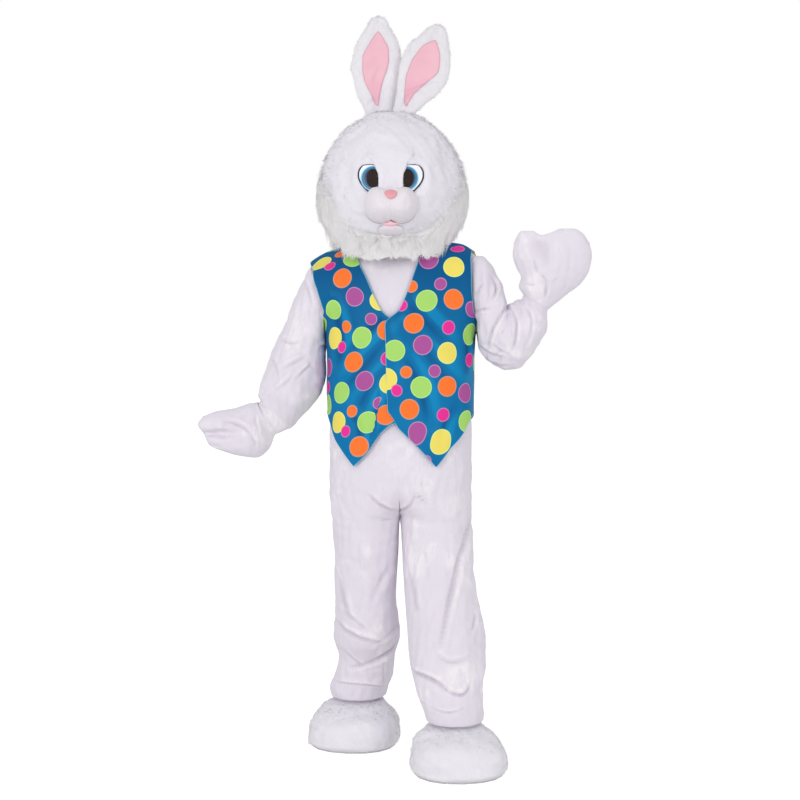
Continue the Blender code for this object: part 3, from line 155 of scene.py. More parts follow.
class Look:
    # one material, and the only way that its nodes are made
    def __init__(self, name):
        self.material = bpy.data.materials.new(name)
        self.material.use_nodes = True
        self.tree = self.material.node_tree
        self.shader = self.tree.nodes["Principled BSDF"]

    def node(self, kind, settings=None, values=None, out=0):
        made = self.tree.nodes.new(kind)
        for key, value in (settings or {}).items():
            if key == "stops":
                for i, (at, colour) in enumerate(value):
                    held = made.color_ramp.elements
                    stop = held[i] if i < 2 else held.new(at)
                    stop.position, stop.color = at, (*colour, 1.0)
            else:
                setattr(made, key, value)
        for key, value in (values or {}).items():
            self.feed(made, key, value)
        outs = {s.identifier: s for s in made.outputs}
        return Signal(self, outs[out] if isinstance(out, str) else made.outputs[out])

    def feed(self, node, key, value):
        socket = node.inputs[key] if isinstance(key, int) else next(
            s for s in node.inputs if key in (s.identifier, s.name))
        if isinstance(value, Signal):
            self.tree.links.new(value.socket, socket)
        elif hasattr(value, "__len__") and len(value) == 3 and socket.type == "RGBA":
            socket.default_value = (*value, 1.0)
        else:
            socket.default_value = value

    def mix(self, factor, first, second):
        return self.node("ShaderNodeMix", {"data_type": "RGBA"}, {
            "Factor_Float": factor, "A_Color": first, "B_Color": second}, "Result_Color")

    def noise(self, place, scale, detail=2.0, roughness=0.5, distortion=0.0):
        return self.node("ShaderNodeTexNoise", {}, {
            "Vector": place, "Scale": scale, "Detail": detail, "Roughness": roughness,
            "Distortion": distortion}, "Fac")

    def place(self):
        return self.node("ShaderNodeTexCoord", out="Object")

    def uv(self, layer):
        return self.node("ShaderNodeUVMap", {"uv_map": layer})

    def part(self, vector, axis):
        return self.node("ShaderNodeSeparateXYZ", {}, {0: vector}, axis)

    def reach(self, value, low, high, kind="LINEAR"):
        # 0 up to low and 1 from high on
        return self.node("ShaderNodeMapRange", {"interpolation_type": kind}, {
            "Value": value, "From Min": low, "From Max": high})

    def stretched(self, place, scale):
        return self.node("ShaderNodeVectorMath", {"operation": "MULTIPLY"}, {0: place, 1: scale})

    def finish(self, **values):
        for key, value in values.items():
            self.feed(self.shader, key.replace("_", " "), value)
        return self.material


def bumped(look, height, strength, distance):
    return look.node("ShaderNodeBump", {}, {
        "Height": height, "Strength": strength, "Distance": distance})


# trough is the colour of the painted shade in the creases, and nap is also painted on their ridges
# as a painted highlight
plushFinish = {
    "shade": (0.722, 0.678, 0.762), "body": (0.778, 0.732, 0.808), "nap": (0.872, 0.826, 0.858),
    "trough": (0.59, 0.548, 0.62), "patchScale": 7.0, "crushScale": 34.0, "pileScale": 620.0,
    "crushDepth": 0.0035, "pileDepth": 0.0012,
}


def plushLook(name, finish=None, napShare=0.5, paintFoldLight=False):
    # short silky pile: soft patches where the nap lies the other way, and fine crushed pile.
    # On folded cloth the troughs are painted darker, as painted shade, and the ridges lighter in
    # the nap's colour, as a painted highlight
    f = {**plushFinish, **(finish or {})}
    look = Look(name)
    place = look.place()
    patches = look.noise(place, f["patchScale"], 3.0, 0.55, 0.6)
    crushed = look.noise(look.stretched(place, (1.0, 1.0, 0.42)), f["crushScale"], 4.0, 0.62, 0.9)
    pile = look.noise(place, f["pileScale"], 2.0, 0.6)
    flat = look.reach(patches, 0.6 - 0.18 * napShare, 0.74 - 0.12 * napShare, "SMOOTHSTEP")
    spots = look.reach(crushed, 0.42, 0.62, "SMOOTHSTEP")
    colour = look.mix(patches, f["shade"], f["body"])
    colour = look.mix(flat * spots * 0.85, colour, f["nap"])
    if paintFoldLight:
        # painted shade in the creases' troughs and a painted highlight on their ridges, from the
        # crease height in the fold layer
        fold = look.part(look.uv("fold"), "X")
        low, high = look.reach(fold, -0.0008, -0.0036), look.reach(fold, 0.0008, 0.003)
        colour = look.mix(low * 0.6, colour, f["trough"])
        colour = look.mix(high * (0.35 + 0.5 * spots), colour, f["nap"])
    height = crushed * f["crushDepth"] + pile * f["pileDepth"]
    return look.finish(
        Base_Color=colour, Roughness=0.96 - 0.08 * flat * spots,
        Normal=bumped(look, height, 0.75, 1.0), Sheen_Weight=0.12, Sheen_Roughness=0.6,
        Specular_IOR_Level=0.06)


def furLook(name, root, tip):
    # strands carry how far along they are in their UVs
    look = Look(name)
    strand = look.uv("strand")
    along, tone = look.part(strand, "Y"), look.part(strand, "X")
    place = look.place()
    locks = look.noise(place, 38.0, 2.0)
    colour = look.mix(along, root, tip)
    colour = look.mix(locks * 0.35, colour, tuple(0.93 * c for c in tip))
    colour = look.mix(tone, colour, tuple(0.62 * c for c in root))
    return look.finish(Base_Color=colour, Roughness=0.85, Sheen_Weight=0.1, Sheen_Roughness=0.5,
                       Specular_IOR_Level=0.12)


def quads(rows, columns, wrap, start=0):
    last = columns if wrap else columns - 1
    i, j = np.meshgrid(np.arange(rows - 1), np.arange(last), indexing="ij")
    k = (j + 1) % columns
    return start + np.stack([i * columns + j, i * columns + k, (i + 1) * columns + k,
                             (i + 1) * columns + j], axis=-1).reshape(-1, 4)


def linked(name, mesh):
    made = bpy.data.objects.new(name, mesh)
    bpy.context.scene.collection.objects.link(made)
    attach(made, "root")
    return made


def placed(name, points, faces, look, uv=None):
    # heights are counted from the floor, and are lowered here to the shared frame
    points = np.asarray(points, float).reshape(-1, 3) - [0.0, 0.0, floorToNeck]
    mesh = bpy.data.meshes.new(name)
    mesh.from_pydata(points, [], faces)
    corners = np.empty(len(mesh.loops), np.int32)
    mesh.loops.foreach_get("vertex_index", corners)
    for layer, values in (uv or {}).items():
        mesh.uv_layers.new(name=layer).data.foreach_set(
            "uv", np.asarray(values, float).reshape(-1, 2)[corners].ravel())
    mesh.materials.append(look)
    mesh.shade_smooth()
    mesh.set_sharp_from_angle(angle=sharpAngle)
    return linked(name, mesh)


def shell(name, outer, inner, look, wrap=False, uv=None, closed=()):
    # a cloth wall between two grids, with a rim on each open edge
    rows, columns = outer.shape[:2]
    half = rows * columns
    over, under = quads(rows, columns, wrap), quads(rows, columns, wrap, half)
    faces = [over, under[:, ::-1]]
    index = np.arange(half).reshape(rows, columns)
    for i in (0, -1):
        if i in closed:
            continue
        a = index[i]
        b = np.roll(a, -1) if wrap else a[1:]
        a = a if wrap else a[:-1]
        rim = np.stack([a, a + half, b + half, b], axis=1)
        faces.append(rim if i == 0 else rim[:, ::-1])
    if not wrap:
        for j in (0, -1):
            a, b = index[:-1, j], index[1:, j]
            rim = np.stack([a, b, b + half, a + half], axis=1)
            faces.append(rim if j == 0 else rim[:, ::-1])
    points = np.concatenate([outer.reshape(-1, 3), inner.reshape(-1, 3)])
    both = {key: np.concatenate([at.reshape(-1, 2)] * 2) for key, at in (uv or {}).items()}
    made = placed(name, points, np.concatenate(faces), look, both)
    maker = bmesh.new()
    maker.from_mesh(made.data)
    bmesh.ops.remove_doubles(maker, verts=maker.verts, dist=1e-7)
    bmesh.ops.recalc_face_normals(maker, faces=maker.faces)
    if maker.calc_volume(signed=True) < 0:
        bmesh.ops.reverse_faces(maker, faces=maker.faces)
    maker.to_mesh(made.data)
    maker.free()
    made.data.set_sharp_from_angle(angle=sharpAngle)
    return made


def declareSheet(piece, grid, flat):
    # the cut's area is that of the cloth's outer face
    a, b, c, d = grid[:-1, :-1], grid[:-1, 1:], grid[1:, :-1], grid[1:, 1:]
    area = (np.linalg.norm(np.cross(b - a, c - a), axis=2).sum()
            + np.linalg.norm(np.cross(b - d, c - d), axis=2).sum()) / 2
    area = min(float(area), flat[0] * flat[1])
    print(piece.name, "cut", flat, "area", round(area, 4))


def creaseHeight(points, rows, narrow=1.0):
    # soft troughs with a lip to one side, each along a curve through three points (x, z)
    flat = points[..., [0, 2]]
    t = np.linspace(0, 1, 25)[:, None]
    total = np.zeros(points.shape[:-1])
    for row in rows:
        x1, z1, x2, z2, x3, z3, width, depth, lip = np.array(row) / 1000
        width = narrow * width
        bendX, bendZ = 2 * x2 - (x1 + x3) / 2, 2 * z2 - (z1 + z3) / 2
        line = (1 - t) ** 2 * [x1, z1] + 2 * t * (1 - t) * [bendX, bendZ] + t * t * [x3, z3]
        line[:, 1] += floorToNeck
        reach = np.abs(line - line.mean(axis=0)).max() + 5 * width
        near = np.abs(flat - line.mean(axis=0)).max(axis=-1) < reach
        if not near.any():
            continue
        away = np.linalg.norm(flat[near][:, None, :] - line, axis=-1)
        nearest = away.argmin(axis=1)
        away = away.min(axis=1)
        run = line[np.minimum(nearest + 1, 24)] - line[np.maximum(nearest - 1, 0)]
        aside = flat[near] - line[nearest]
        above = np.sign(run[:, 0] * aside[:, 1] - run[:, 1] * aside[:, 0])
        taper = np.sin(math.pi * (0.06 + 0.88 * t[nearest, 0])) ** 0.7
        trough = -depth * np.exp(-(away / width) ** 2)
        ridge = lip * (0.55 + 0.6 * above) * np.exp(-((away - 1.9 * width) / (1.3 * width)) ** 2)
        total[near] += taper * (trough + ridge)
    return total


def rumple(points, size, depth, seed):
    # a slow uneven swell, as a height at each point
    draw = np.random.default_rng(seed)
    total = np.zeros(points.shape[:-1])
    for k in range(9):
        way = unit(draw.normal(size=3)) * draw.uniform(0.7, 1.8) * 2 * math.pi / size
        bend = unit(draw.normal(size=3)) * 2 * math.pi / (2.3 * size)
        total += np.sin(points @ way + 1.4 * np.sin(points @ bend) + draw.uniform(0, 6.3))
    return depth * total / 3.0

# folds in millimetres, each a curve through three places (x, z), then width, depth and lip

frontCreases = [
    # trousers under the waistcoat's points
    (-89, -679, -52, -713, -18, -731, 10, 6.6, 3.4),
    (-18, -731, 16, -725, 39, -688, 10, 5.8, 2.8),
    (39, -684, 56, -690, 71, -705, 9, 5.8, 2.8),
    (-72, -750, -39, -756, -6, -753, 9, 4.2, 2.2),
    (20, -640, 34, -670, 36, -705, 12, 2.2, 1.2),
    (52, -640, 58, -650, 60, -664, 7, 3, 1.6),
    # right leg
    (-29, -890, -52, -930, -77, -987, 17, 4.5, 1.8),
    (-171, -930, -157, -998, -137, -1044, 18, 5.5, 2.4),
    (-177, -1061, -131, -1089, -52, -1112, 14, 8, 4.5),
    (-170, -1020, -120, -1050, -90, -1090, 12, 3.5, 2.2),
    (5, -1101, -34, -1154, -137, -1192, 12, 10, 6),
    (0, -1060, -30, -1090, -80, -1120, 12, 3.5, 2.5),
    (-160, -1140, -130, -1170, -90, -1200, 11, 4, 2.5),
    (-188, -1243, -109, -1243, -46, -1257, 8, 5, 3.5),
    (-46, -1163, -47, -1210, -47, -1260, 5, 3.5, 1.2),
    (-105, -790, -112, -850, -104, -905, 14, 2.4, 1.2),
    # left leg
    (199, -763, 152, -915, 110, -1073, 16.5, 10, 3.6),
    (210, -1012, 206, -1032, 199, -1050, 8, 5, 2.2),
    (22, -895, 38, -962, 38, -1006, 15, 4.2, 1.8),
    (30, -1158, 81, -1165, 125, -1192, 11, 10, 6),
    (125, -1192, 168, -1206, 187, -1183, 10, 8, 4.5),
    (95, -1100, 140, -1120, 190, -1110, 12, 4, 2.5),
    (44, -1217, 54, -1230, 66, -1238, 7, 4.5, 2.5),
    (90, -1245, 130, -1252, 175, -1240, 8, 3.5, 2.2),
    (75, -800, 70, -860, 80, -930, 14, 2.4, 1.2),
    # left arm
    (232, -93, 220, -111, 211, -130, 7, 4, 2),
    (256, -79, 269, -108, 254, -140, 8, 8, 3.5),
    (251, -165, 230, -168, 206, -175, 8, 5, 2.5),
    (302, -162, 266, -203, 243, -276, 10, 7, 4),
    (308, -168, 319, -230, 302, -295, 10, 6, 4),
    (257, -263, 274, -280, 300, -294, 7, 4.5, 2.5),
    (283, -284, 272, -286, 264, -291, 6, 4, 2),
    (280, -238, 283, -230, 289, -224, 6, 3.5, 1.8),
    (210, -257, 248, -289, 286, -299, 8, 5.5, 3),
    (210, -280, 255, -316, 313, -327, 8, 4.5, 2.5),
    (340, -165, 362, -205, 350, -270, 10, 4.5, 2.8),
    # left mitt, between its fingers and from the pinch at its wrist
    (384, 46, 384, 10, 392, -40, 34, 3.4, 1),
    (402, 30, 404, -10, 402, -60, 30, 2.2, 1.2),
    (463, 20, 461, -37, 452, -97, 16, 2.6, 1.2),
    (366, -26, 371, -51, 375, -70, 9, 4.5, 2),
    (401, -92, 400, -127, 399, -160, 8, 6, 3),
    (401, -92, 390, -78, 379, -73, 7, 4, 2),
    (457, -97, 453, -108, 450, -116, 6, 4, 2),
    (339, -92, 355, -100, 369, -98, 7, 4.5, 2.2),
    (423, -86, 426, -85, 430, -84, 5, 3.5, 1.8),
    # right arm, from the shoulder to the cuff
    (-258, -35, -246, -60, -232, -78, 10, 5, 2.8),
    (-285, -75, -262, -120, -252, -170, 12, 3.5, 2.2),
    (-345, -250, -315, -262, -285, -258, 11, 5, 4.5),
    (-222, -276, -212, -270, -200, -262, 8, 5, 2.8),
    (-290, -362, -268, -340, -250, -326, 8, 6, 3.5),
    (-330, -330, -300, -318, -262, -300, 10, 5, 3.5),
    (-352, -395, -320, -370, -300, -350, 9, 4.5, 3),
    (-395, -360, -400, -385, -397, -415, 7, 5, 3),
    (-378, -300, -352, -330, -340, -372, 10, 3.5, 2.5),
    # right mitt
    (-393, -446, -396, -475, -389, -502, 8, 5.5, 3),
    (-481, -473, -440, -482, -404, -517, 10, 6, 3),
    (-404, -517, -399, -530, -398, -545, 6, 4.5, 2),
    (-520, -455, -480, -440, -440, -445, 10, 3, 2),
]
backCreases = [
    (-120, -640, -60, -690, -10, -705, 12, 5.5, 3),
    (130, -655, 70, -700, 18, -712, 11, 4.5, 2.8),
    (-160, -760, -110, -800, -40, -812, 13, 5, 2.6),
    (165, -800, 120, -830, 50, -838, 13, 4.5, 2.6),
    (-170, -990, -120, -1012, -45, -1010, 13, 7.5, 4.5),
    (-160, -1060, -110, -1095, -40, -1100, 12, 6, 4),
    (-40, -1150, -100, -1180, -160, -1176, 11, 7, 4.5),
    (-60, -1225, -120, -1240, -175, -1236, 9, 4.5, 3),
    (190, -985, 130, -1015, 60, -1010, 13, 7, 4.5),
    (200, -1070, 150, -1100, 70, -1092, 12, 5.5, 3.5),
    (60, -1160, 120, -1186, 195, -1176, 11, 7, 4.5),
    (80, -1232, 130, -1246, 190, -1238, 9, 4.5, 3),
    (-75, -850, -85, -910, -78, -965, 15, 3, 1.5),
    (105, -880, 112, -930, 100, -975, 15, 3, 1.5),
    (262, -100, 245, -150, 240, -200, 10, 5.5, 3),
    (315, -190, 290, -230, 255, -250, 10, 6.5, 4),
    (360, -200, 345, -260, 300, -300, 10, 6, 3.5),
    (-262, -50, -245, -100, -240, -150, 11, 5, 2.8),
    (-340, -260, -300, -290, -240, -285, 11, 6.5, 4),
    (-365, -330, -325, -360, -270, -350, 11, 6, 3.5),
    (-390, -400, -370, -420, -340, -430, 8, 4.5, 2.8),
]
clothRelief = {"swell": 0.0024, "swellSize": 0.17, "crush": 0.0013, "crushSize": 0.042,
               "crease": 0.95, "narrow": 0.46, "seamWidth": 0.0036, "seamDepth": 0.0012}


def reliefOf(points, out, finish=clothRelief):
    # the height of the folds over a piece's plain form, then that of the creases alone
    narrow = finish["narrow"]
    crease = creaseHeight(points, frontCreases, narrow) * ramp(-out[..., 1], 0.0, 0.4)
    crease += creaseHeight(points, backCreases, narrow) * ramp(out[..., 1], 0.0, 0.4)
    crease *= finish["crease"]
    height = rumple(points, finish["swellSize"], finish["swell"], 3)
    height += rumple(points, finish["crushSize"], finish["crush"], 4)
    return height + crease, crease


# the crease height, kept as a UV layer that steers the plush's painted crease shade and ridge
# highlights
def foldMap(crease):
    return {"fold": np.stack([crease, crease], axis=-1)}


def seamPull(grid, finish=clothRelief, sides=(0, 1)):
    # how far a row of stitches at each long edge draws the cloth in
    run = lengthAlong(grid, 1)
    total = np.zeros(grid.shape[:2])
    for end in sides:
        away = run if end == 0 else run[:, -1:] - run
        total += finish["seamDepth"] * np.exp(-(away / finish["seamWidth"]) ** 2)
    return total


torsoRows = table("station innerZ outerZ legX halfWidth frontDepth backDepth neckX armCut", [
    (8,  0.7, 0.7, 0.079, 0.122, 0.122, 0.132, 0.0, 0.0),
    (9,  0.76, 0.76, 0.045, 0.156, 0.13, 0.142, 0.0, 0.0),
    (10, 0.85, 0.85, 0.0, 0.2, 0.134, 0.142, 0.0, 0.0),
    (11, 0.95, 0.95, 0.0, 0.2, 0.133, 0.13, 0.0, 0.0),
    (12, 1.07, 1.07, 0.0, 0.202, 0.13, 0.128, 0.0, 0.0),
    (13, 1.182, 1.182, 0.0, 0.203, 0.126, 0.128, 0.0, 0.0),
    (14, 1.25, 1.24, 0.0, 0.208, 0.121, 0.124, 0.0, 0.58),
    (15, 1.33, 1.3, 0.0, 0.216, 0.108, 0.112, 0.0, 0.68),
    (16, 1.392, 1.352, 0.0, 0.223, 0.078, 0.084, 0.0, 0.62),
    (17, 1.427, 1.375, 0.0, 0.228, 0.0, 0.0, 0.078, 0.3),
])
underarmStation, shoulderStation = 13, 17
shoulderLift = {rightSide: 0.0, leftSide: 0.034}   # the waving arm raises its shoulder
shoulderWiden = {rightSide: 0.0, leftSide: 0.012}  # and carries its armhole out
armholeDepth = {rightSide: 1.0, leftSide: 0.72}     # so that less of the side is cut away
legRows = {
    rightSide: table("station innerZ legX centreY halfWidth depth", [
        (0, 0.116, 0.1216, 0.0985, 0.0593, 0.0593),
        (0.35, 0.119, 0.1212, 0.099, 0.078, 0.076),
        (1, 0.142, 0.12, 0.1, 0.085, 0.082),
        (2, 0.178, 0.107, 0.094, 0.085, 0.083),
        (3, 0.235, 0.096, 0.078, 0.081, 0.083),
        (4, 0.31, 0.094, 0.052, 0.095, 0.098),
        (5, 0.416, 0.098, 0.026, 0.087, 0.094),
        (6, 0.558, 0.096, 0.008, 0.092, 0.104),
        (7, 0.652, 0.0975, 0.0, 0.0965, 0.114),
    ]),
    leftSide: table("station innerZ legX centreY halfWidth depth", [
        (0, 0.116, 0.1502, -0.1842, 0.0592, 0.0592),
        (0.35, 0.119, 0.1492, -0.1838, 0.076, 0.075),
        (1, 0.142, 0.147, -0.183, 0.082, 0.08),
        (2, 0.2, 0.135, -0.172, 0.091, 0.088),
        (3, 0.274, 0.131, -0.146, 0.105, 0.098),
        (4, 0.333, 0.128, -0.118, 0.107, 0.102),
        (5, 0.45, 0.114, -0.064, 0.102, 0.102),
        (6, 0.573, 0.106, -0.018, 0.101, 0.108),
        (7, 0.652, 0.102, -0.002, 0.101, 0.114),
    ]),
}
crotchStation = 7
postureRows = table("height leanX turn", [
    (0.6, 0.0, 0.0),
    (0.85, 0.002, -4.0),
    (1.1, 0.001, -10.0),
    (1.41, -0.018, -12.0),
])
foldRows = {
    rightSide: table("angleA heightA angleB heightB width depth", [
        (160, 0.345, 75, 0.275, 0.02, -0.007),
        (30, 0.3, 110, 0.218, 0.02, -0.01),
        (50, 0.325, 120, 0.25, 0.024, 0.007),
        (20, 0.5, 70, 0.4, 0.022, -0.006),
        (60, 0.69, 5, 0.64, 0.018, -0.007),
        (130, 0.168, 60, 0.16, 0.014, -0.006),
        (240, 0.33, 310, 0.28, 0.022, -0.009),
        (300, 0.46, 230, 0.4, 0.024, -0.006),
        (250, 0.23, 320, 0.2, 0.018, -0.007),
    ]),
    leftSide: table("angleA heightA angleB heightB width depth", [
        (150, 0.6, 100, 0.39, 0.018, -0.008),
        (30, 0.262, 105, 0.212, 0.018, -0.01),
        (105, 0.212, 140, 0.232, 0.016, -0.008),
        (40, 0.3, 120, 0.262, 0.026, 0.007),
        (55, 0.7, 5, 0.648, 0.018, -0.007),
        (160, 0.42, 130, 0.3, 0.02, -0.006),
        (230, 0.3, 310, 0.25, 0.022, -0.009),
        (250, 0.52, 300, 0.42, 0.024, -0.006),
        (300, 0.21, 230, 0.175, 0.018, -0.007),
    ]),
}
foldRadius = 0.1        # turns an angle on a leg into a length for a fold's distance
foldShare = 0.16         # of each broad fold; the creases carry the rest


# the line that each shoulder slopes along, and that nothing on it stands above
shoulderLine = {
    rightSide: table("out height", [
        (0.15, 1.46), (0.2, 1.414), (0.2347, 1.39), (0.2513, 1.37), (0.2665, 1.349),
        (0.2836, 1.312), (0.3035, 1.262)]),
    leftSide: table("out height", [
        (0.15, 1.45), (0.1996, 1.419), (0.2311, 1.396), (0.2503, 1.373), (0.2713, 1.343),
        (0.289, 1.305), (0.3, 1.27)]),
}


lineSoft = 0.004         # how gently a place is drawn in under that line


def underLine(points, side, outside=0.0, share=1.0):
    top = np.interp(side * points[..., 0], *shoulderLine[side].values()) + outside
    over = np.clip((points[..., 2] - top) / lineSoft, -30, 30)
    low = top - lineSoft * np.log1p(np.exp(-over))
    points[..., 2] += share * (low - points[..., 2]) * (over > -29)


def bodyRow(side, station):
    leg = legRows[side]
    stations = np.concatenate([leg["station"], torsoRows["station"]])

    def column(legValues, torsoValues):
        return smooth(stations, np.concatenate([legValues, torsoValues]), station)

    zero = np.zeros(len(leg["station"]))
    lift = shoulderLift[side] * ramp(station, underarmStation, shoulderStation)
    widen = shoulderWiden[side] * ramp(station, underarmStation - 1, underarmStation + 1)
    return {
        "innerZ": column(leg["innerZ"], torsoRows["innerZ"]),
        "outerZ": column(leg["innerZ"], torsoRows["outerZ"]) + lift,
        "legX": column(leg["legX"], torsoRows["legX"]),
        "halfWidth": column(leg["halfWidth"], torsoRows["halfWidth"]) + widen,
        frontHalf: column(leg["depth"], torsoRows["frontDepth"]),
        backHalf: column(leg["depth"], torsoRows["backDepth"]),
        "centreY": column(leg["centreY"], np.zeros(len(torsoRows["station"]))),
        "neckX": column(zero, torsoRows["neckX"]),
        "armCut": column(zero, torsoRows["armCut"]) * armholeDepth[side],
    }


def foldDepth(side, degrees, height):
    total = np.zeros(np.broadcast(degrees, height).shape)
    folds = foldRows[side]
    for a0, h0, a1, h1, width, depth in zip(*folds.values()):
        perDegree = math.radians(1) * foldRadius
        start = np.array([a0 * perDegree, h0])
        run = np.array([a1 * perDegree, h1]) - start
        here = np.stack(np.broadcast_arrays(degrees * perDegree, height), axis=-1) - start
        along = np.clip(here @ run / (run @ run), 0.0, 1.0)
        away = np.linalg.norm(here - along[..., None] * run, axis=-1)
        taper = np.sin(math.pi * (0.12 + 0.76 * along))
        total += depth * taper * np.exp(-((away / width) ** 2))
    return total


def bodySection(side, half, station, share, outside=0.0):
    station, share = np.broadcast_arrays(np.asarray(station, float), np.asarray(share, float))
    row = bodyRow(side, station)
    corner = 2.0 / (2.0 + 0.4 * ramp(station, crotchStation, crotchStation + 3))
    # a seam on top of the shoulder is lifted, not parted
    upward = ramp(station, shoulderStation - 1.5, shoulderStation)
    wide, deep = row["halfWidth"] + outside, row[half] + outside * (1 - upward)
    start = np.clip((row["neckX"] - row["legX"]) / row["halfWidth"], -1.0, 1.0)
    start = np.where(station < crotchStation, -1.0, start)     # each leg is whole, also at the knee
    first = np.arccos(power(start, 1 / corner))
    last = np.arcsin(np.clip(power(row["armCut"], 1 / corner), 0.0, 1.0))
    angle = first + (last - first) * share
    out = row["legX"] + wide * power(np.cos(angle), corner)
    fore = deep * power(np.sin(angle), corner)
    height = row["innerZ"] + (row["outerZ"] - row["innerZ"]) * share ** 1.15
    degrees = 180.0 - np.degrees(angle)
    degrees = degrees if half == frontHalf else 360.0 - degrees
    push = foldShare * foldDepth(side, degrees, height) * (1 - ramp(height, 0.72, 0.8))
    push *= ramp(row["innerZ"], 0.125, 0.15)
    x = side * (np.maximum(out + push * np.cos(angle), 0.0) + seamGap / 2)
    y = row["centreY"] + half * (np.maximum(fore + push * np.sin(angle), 0.0) + seamGap / 2)
    points = np.stack([x, y, height + outside * upward], axis=-1)
    underLine(points, side, outside)
    return points


def stand(points):
    x, y, height = points[..., 0], points[..., 1], points[..., 2]
    turn = np.radians(smooth(postureRows["height"], postureRows["turn"], height))
    lean = smooth(postureRows["height"], postureRows["leanX"], height)
    return np.stack([lean + x * np.cos(turn) - y * np.sin(turn),
                     x * np.sin(turn) + y * np.cos(turn), height], axis=-1)

suitMesh = {"legRows": {frontHalf: 134, backHalf: 84}, "trunkRows": {frontHalf: 44, backHalf: 30},
            "shoulderRows": 33, "columns": {frontHalf: 66, backHalf: 40}, "underVest": 0.08}


def behind(outer, side, half, thickness, station):
    inner = outer - side * half * thickness * gridNormals(outer, wrap=False)
    middle = bodyRow(side, station)["centreY"]
    inner[..., 0] = side * np.maximum(side * inner[..., 0], seamGap / 2)
    inner[..., 1] = middle + half * np.maximum(half * (inner[..., 1] - middle), seamGap / 2)
    return inner


def suitPanel(side, half):
    s = suitMesh
    station = np.concatenate([
        np.linspace(0, crotchStation, s["legRows"][half]),
        np.linspace(crotchStation, underarmStation, s["trunkRows"][half])[1:],
        np.linspace(underarmStation, shoulderStation, s["shoulderRows"])[1:]])[:, None]
    share = np.linspace(0, 1, s["columns"][half])[None, :]
    raw = bodySection(side, half, station, share)
    worn = stand(raw)
    outward = side * half
    out = outward * gridNormals(worn, False)
    keep = ramp(station, 0.0, 1.0) * (1 - ramp(station, 15.6, 16.9))
    keep = keep * (1 - ramp(station, 12.2, 13.2) * ramp(share, 0.72, 0.98))
    covered = ramp(worn[..., 2], 0.9, 0.96)
    keep = keep * (1 - (1 - s["underVest"]) * covered)
    onLeg = 1 - ramp(station, crotchStation - 1, crotchStation)
    keep = keep * (1 - (1 - ramp(share, 0.0, 0.05)) * onLeg)
    height, crease = reliefOf(worn, out)
    sewn = (1,) if half == frontHalf else (0, 1)
    height = height * keep - seamPull(worn, sides=sewn) * ramp(station, 0.2, 1.0)
    seam = raw[:, 0, 0].copy()
    if half == frontHalf:
        seam[np.abs(seam) < seamGap] = side * seamTouch
    raw += outward * gridNormals(raw, False) * height[..., None]
    raw[..., 0] = side * np.maximum(side * raw[..., 0], seamGap / 2)
    raw[:, 0, 0] = seam
    return stand(raw), stand(behind(raw, side, half, plushWall, station)), crease * keep


# suit, sleeves and mitts: their creases get painted shade and their ridges a painted highlight
plush = plushLook("crushedPlush", paintFoldLight=True)
suitFlat = (0.44, 1.46)
for side in (rightSide, leftSide):
    for half, halfName in ((frontHalf, "front"), (backHalf, "back")):
        node = f"suit_{halfName}_{sideName[side]}"
        outer, inner, crease = suitPanel(side, half)
        panel = shell(f"trousersAndBody.{halfName}.{sideName[side]}", outer, inner, plush,
                      uv=foldMap(crease))
        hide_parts(node)
        declareSheet(panel, outer, suitFlat)
print("suit body")

sleeveRows = {
    rightSide: table("upperX upperZ lowerX lowerZ centreY depth", [
        (-256, 1370, -215, 1169, 40, 80),
        (-272.7, 1344.3, -215, 1143, 40, 79),
        (-292, 1298, -215, 1115, 40, 78),
        (-312.8, 1244, -214, 1086, 38, 78),
        (-333, 1192, -214, 1056, 34, 80),
        (-355.9, 1140.7, -215, 1029, 26, 84),
        (-372, 1095, -224, 1001, 14, 86),
        (-385, 1055, -245.1, 970.9, -6, 84),
        (-395, 1020, -274.5, 939.3, -30, 78),
        (-399, 999, -306, 909, -58, 66),
        (-388, 990.5, -338.5, 895.5, -86, 45.5),
        (-396.5, 979, -351, 891.5, -99, 42),
        (-413, 966, -374, 883, -105, 40),
    ], 1000),
    leftSide: table("upperX upperZ lowerX lowerZ centreY depth", [
        (242, 1393, 217, 1166, -46, 78),
        (262, 1360, 218, 1134, -50, 77),
        (280, 1330, 237, 1104, -54, 80),
        (291, 1300, 268, 1084, -58, 83),
        (296, 1272, 296, 1070, -62, 84),
        (299, 1256, 330, 1073, -68, 84),
        (305, 1255.5, 360, 1104, -78, 80),
        (315, 1260, 386, 1142, -90, 72),
        (327, 1265, 402, 1178, -102, 62),
        (337.7, 1269, 411, 1209, -114, 52),
        (340, 1274.5, 409, 1235, -122, 40),
        (342.9, 1284.2, 412.5, 1246.8, -129, 34.5),
        (353.3, 1301.3, 421.1, 1264.9, -135, 32.5),
    ], 1000),
}
creaseShare = 0.6        # of each broad fold round a sleeve
capOut, capSpread, capTuck = 0.012, 0.05, {rightSide: 0.012, leftSide: 0.006}
sleeveCreases = {
    rightSide: table("along angle reach width depth", [
        (0.3, 300, 45, 0.03, -0.006),
        (0.6, 250, 60, 0.035, 0.006),
        (0.68, 280, 70, 0.03, -0.008),
        (0.78, 230, 60, 0.03, 0.006),
        (0.62, 90, 70, 0.04, -0.007),
    ]),
    leftSide: table("along angle reach width depth", [
        (0.22, 300, 45, 0.03, -0.007),
        (0.36, 320, 50, 0.03, 0.006),
        (0.46, 300, 55, 0.028, -0.009),
        (0.56, 240, 60, 0.035, 0.006),
        (0.64, 310, 50, 0.028, -0.007),
        (0.5, 60, 70, 0.04, -0.008),
    ]),
}
sleeveMesh = {"between": 8, "keepFrom": 0.1, "keepTo": (0.84, 0.93),
              "seam": (0.0015, 0.035, 0.02)}   # the armhole seam: depth, place and width


